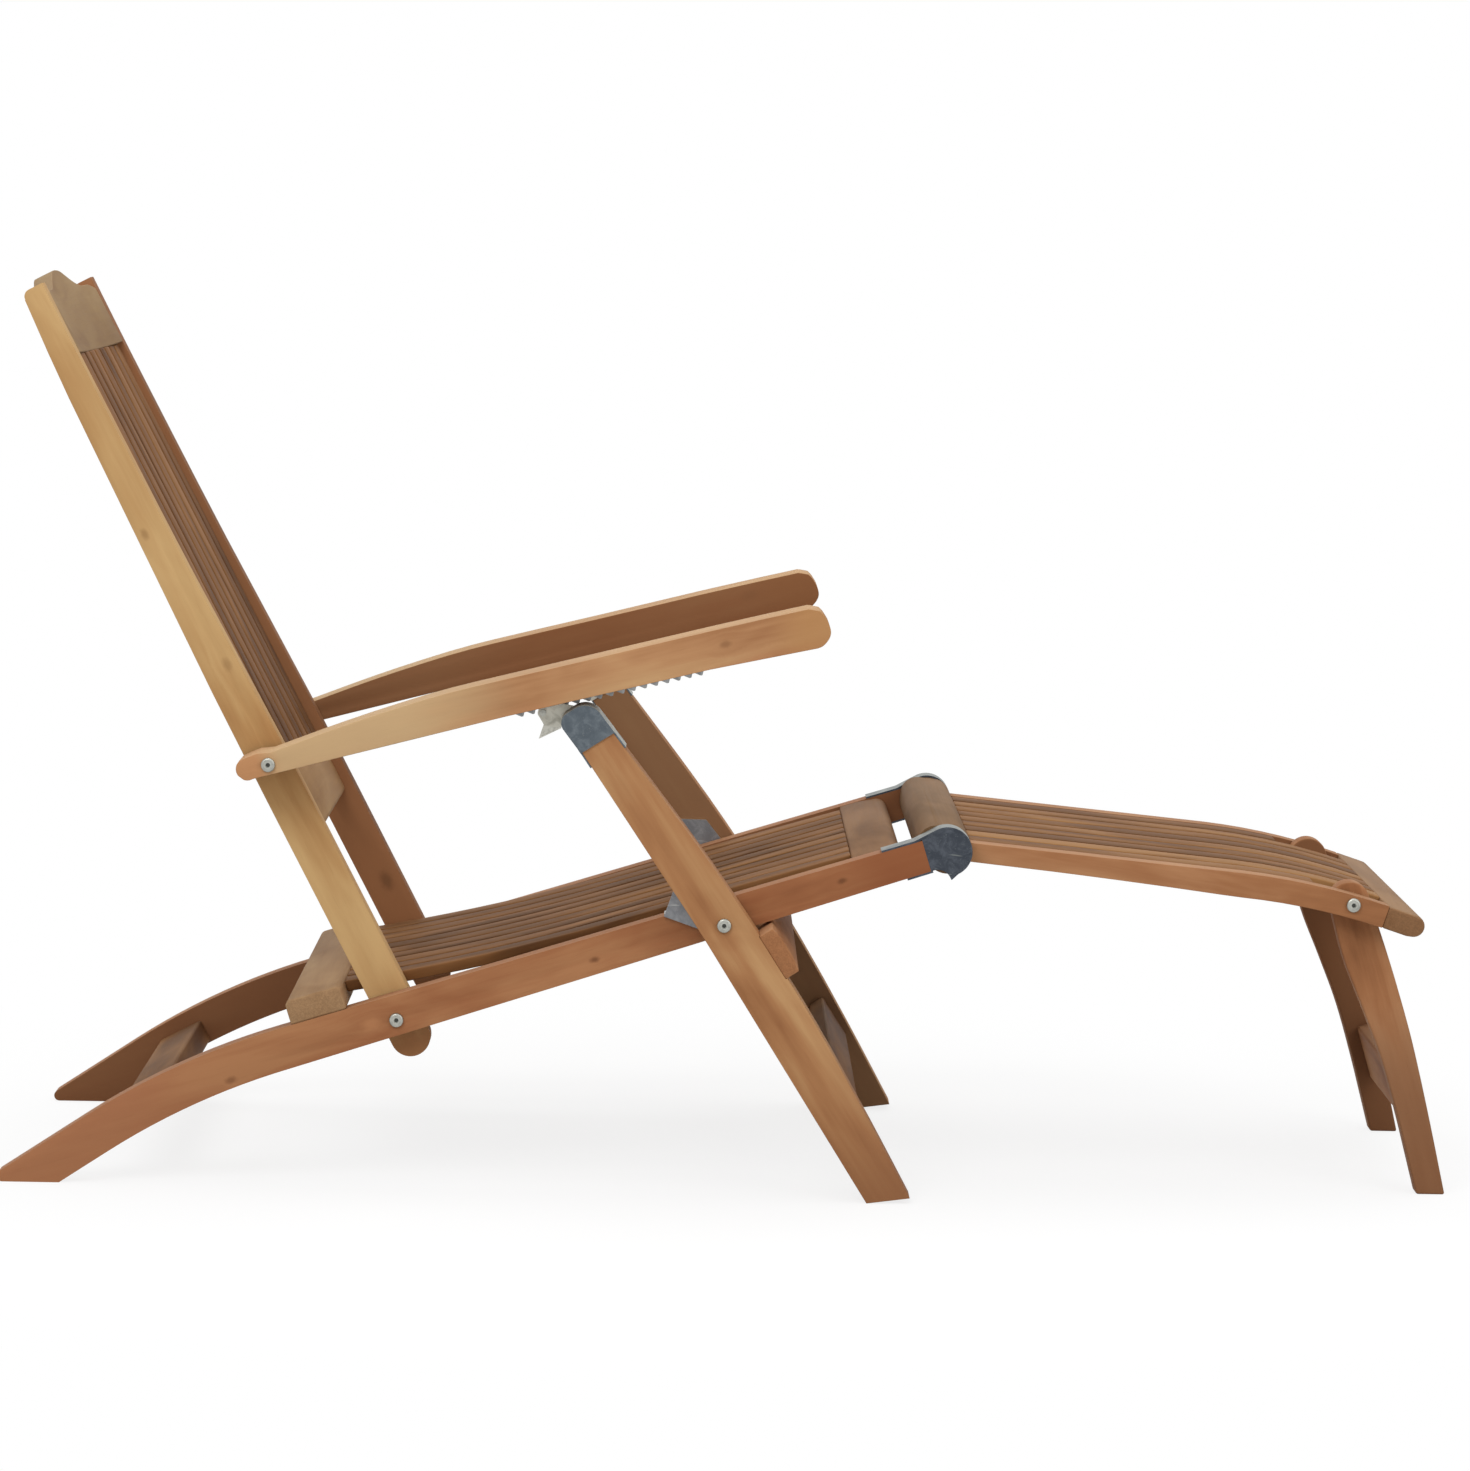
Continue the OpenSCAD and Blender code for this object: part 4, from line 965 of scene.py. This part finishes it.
@dataclass
class Studio:
    """Camera, floor, lamps and world."""

    lens: float = 122.31
    sensor: float = 36.0
    stand: Tuple[float, float, float] = (-0.0485, -5.4368, 1.0369)
    yaw: float = 0.569
    pitch: float = 6.069
    roll: float = 1.060
    floor_half: float = 30.0
    shadow_reach: Tuple[float, float] = (0.45, 1.15)
    room_light: float = 0.58
    lamp_aim: Tuple[float, float, float] = (0.0, 0.0, 0.35)
    lamps: List[Tuple[str, Tuple[float, float, float], float, float]] = field(default_factory=lambda: [
        ("key_lamp", (-1.6, -3.2, 3.4), 2.6, 80.0),
        ("fill_lamp", (2.6, -2.6, 2.0), 2.6, 32.0),
        ("top_lamp", (0.2, 0.6, 3.8), 3.2, 44.0),
    ])

    def build(self) -> None:
        """Sets up everything round the chair."""
        self.camera()
        self.floor()
        self.light()
        self.world()
        bpy.context.scene.view_settings.view_transform = "Standard"

    def camera(self) -> None:
        """Puts the camera where the photograph was taken from."""
        yaw, pitch, roll = (math.radians(v) for v in (self.yaw, self.pitch, self.roll))
        ahead = Vector((math.sin(yaw) * math.cos(pitch), math.cos(yaw) * math.cos(pitch), -math.sin(pitch)))
        right = Vector((math.cos(yaw), -math.sin(yaw), 0.0))
        up = right.cross(ahead)
        turned_right = math.cos(roll) * right + math.sin(roll) * up
        turned_up = -math.sin(roll) * right + math.cos(roll) * up
        data = bpy.data.cameras.new("photo_camera")
        data.sensor_fit = "HORIZONTAL"
        data.sensor_width = self.sensor
        data.lens = self.lens
        data.clip_start, data.clip_end = 0.05, 100.0
        camera = bpy.data.objects.new("photo_camera", data)
        turn = Matrix((turned_right, turned_up, -ahead)).transposed().to_4x4()
        camera.matrix_world = Matrix.Translation(Vector(self.stand)) @ turn
        bpy.context.scene.collection.objects.link(camera)
        bpy.context.scene.camera = camera

    def floor(self) -> None:
        """Lays a plain pale floor that turns white for the camera and keeps the shadow."""
        mesh = bpy.data.meshes.new("floor")
        size = self.floor_half
        mesh.from_pydata([(-size, -size, 0), (size, -size, 0), (size, size, 0), (-size, size, 0)], [],
                         [(0, 1, 2, 3)])
        floor = bpy.data.objects.new("floor", mesh)
        bpy.context.scene.collection.objects.link(floor)
        s = Paint("floor_paper", PAPER)
        seen = self._seen(s)
        colour = s.blend(seen, PAPER_BOUNCE, PAPER_SEEN)
        matt = s.use("ShaderNodeBsdfDiffuse", {}, {"Color": colour})
        glow = s.use("ShaderNodeEmission", {}, {"Color": (*WHITE, 1.0), "Strength": 1.0})
        spot = s.place()
        x, y = (s.use("ShaderNodeSeparateXYZ", {}, {"Vector": spot}, axis) for axis in "XY")
        away = ((x * x * 0.7 + y * y) ** 0.5).step(*self.shadow_reach)
        shown = s.use("ShaderNodeMixShader", {}, {0: seen * (away * 0.2 + 0.8), 1: matt, 2: glow})
        mesh.materials.append(s.finish(shown))

    @staticmethod
    def _seen(s: Sheet) -> Link:
        """Gives 1 for rays that the eye, a gloss or a glass sends out."""
        kinds = [s.use("ShaderNodeLightPath", {}, {}, name)
                 for name in ("Is Camera Ray", "Is Glossy Ray", "Is Transmission Ray")]
        return (kinds[0] + kinds[1] + kinds[2]).held()

    def light(self) -> None:
        """Hangs the soft lamps."""
        for name, place, size, power in self.lamps:
            data = bpy.data.lights.new(name, "AREA")
            data.shape = "DISK"
            data.size = size
            data.energy = power
            lamp = bpy.data.objects.new(name, data)
            lamp.location = place
            aim = Vector(self.lamp_aim) - Vector(place)
            lamp.rotation_mode = "QUATERNION"
            lamp.rotation_quaternion = aim.to_track_quat("-Z", "Y")
            bpy.context.scene.collection.objects.link(lamp)

    def world(self) -> None:
        """Gives the room its even light and its white background."""
        world = bpy.data.worlds.new("studio")
        world.use_nodes = True
        bpy.context.scene.world = world
        s = Sheet(world.node_tree)
        room = s.use("ShaderNodeBackground", {}, {"Color": (*WHITE, 1.0), "Strength": self.room_light})
        white = s.use("ShaderNodeBackground", {}, {"Color": (*WHITE, 1.0), "Strength": 1.0})
        both = s.use("ShaderNodeMixShader", {}, {0: self._seen(s), 1: room, 2: white})
        s.end("ShaderNodeOutputWorld", both)


FRAME: Dict[str, object] = {}


def main() -> None:
    """Builds the studio and dresses every sub-assembly in order."""
    logging.basicConfig(level=logging.INFO, format="%(name)s: %(message)s")
    FRAME.update(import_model())
    Studio().build()
    steel, bright = BOLT_STEEL.make(), CATCH_STEEL.make()
    sets: List[Joinery] = [
        SeatFrame("seat_frame"), Back("back"), Arms("arm_side_right", side="right"),
        Arms("arm_side_left", side="left"), FrontLegs("leg_frame"), FootRest("foot_rest"),
        FootRestLegs("foot_rest_legs")]
    for part in sets:
        part.build(steel)
    for side in ("left", "right"):
        Joinery("catch_side_" + side).metal("catch_" + side, bright)


if __name__ == "__main__":
    main()
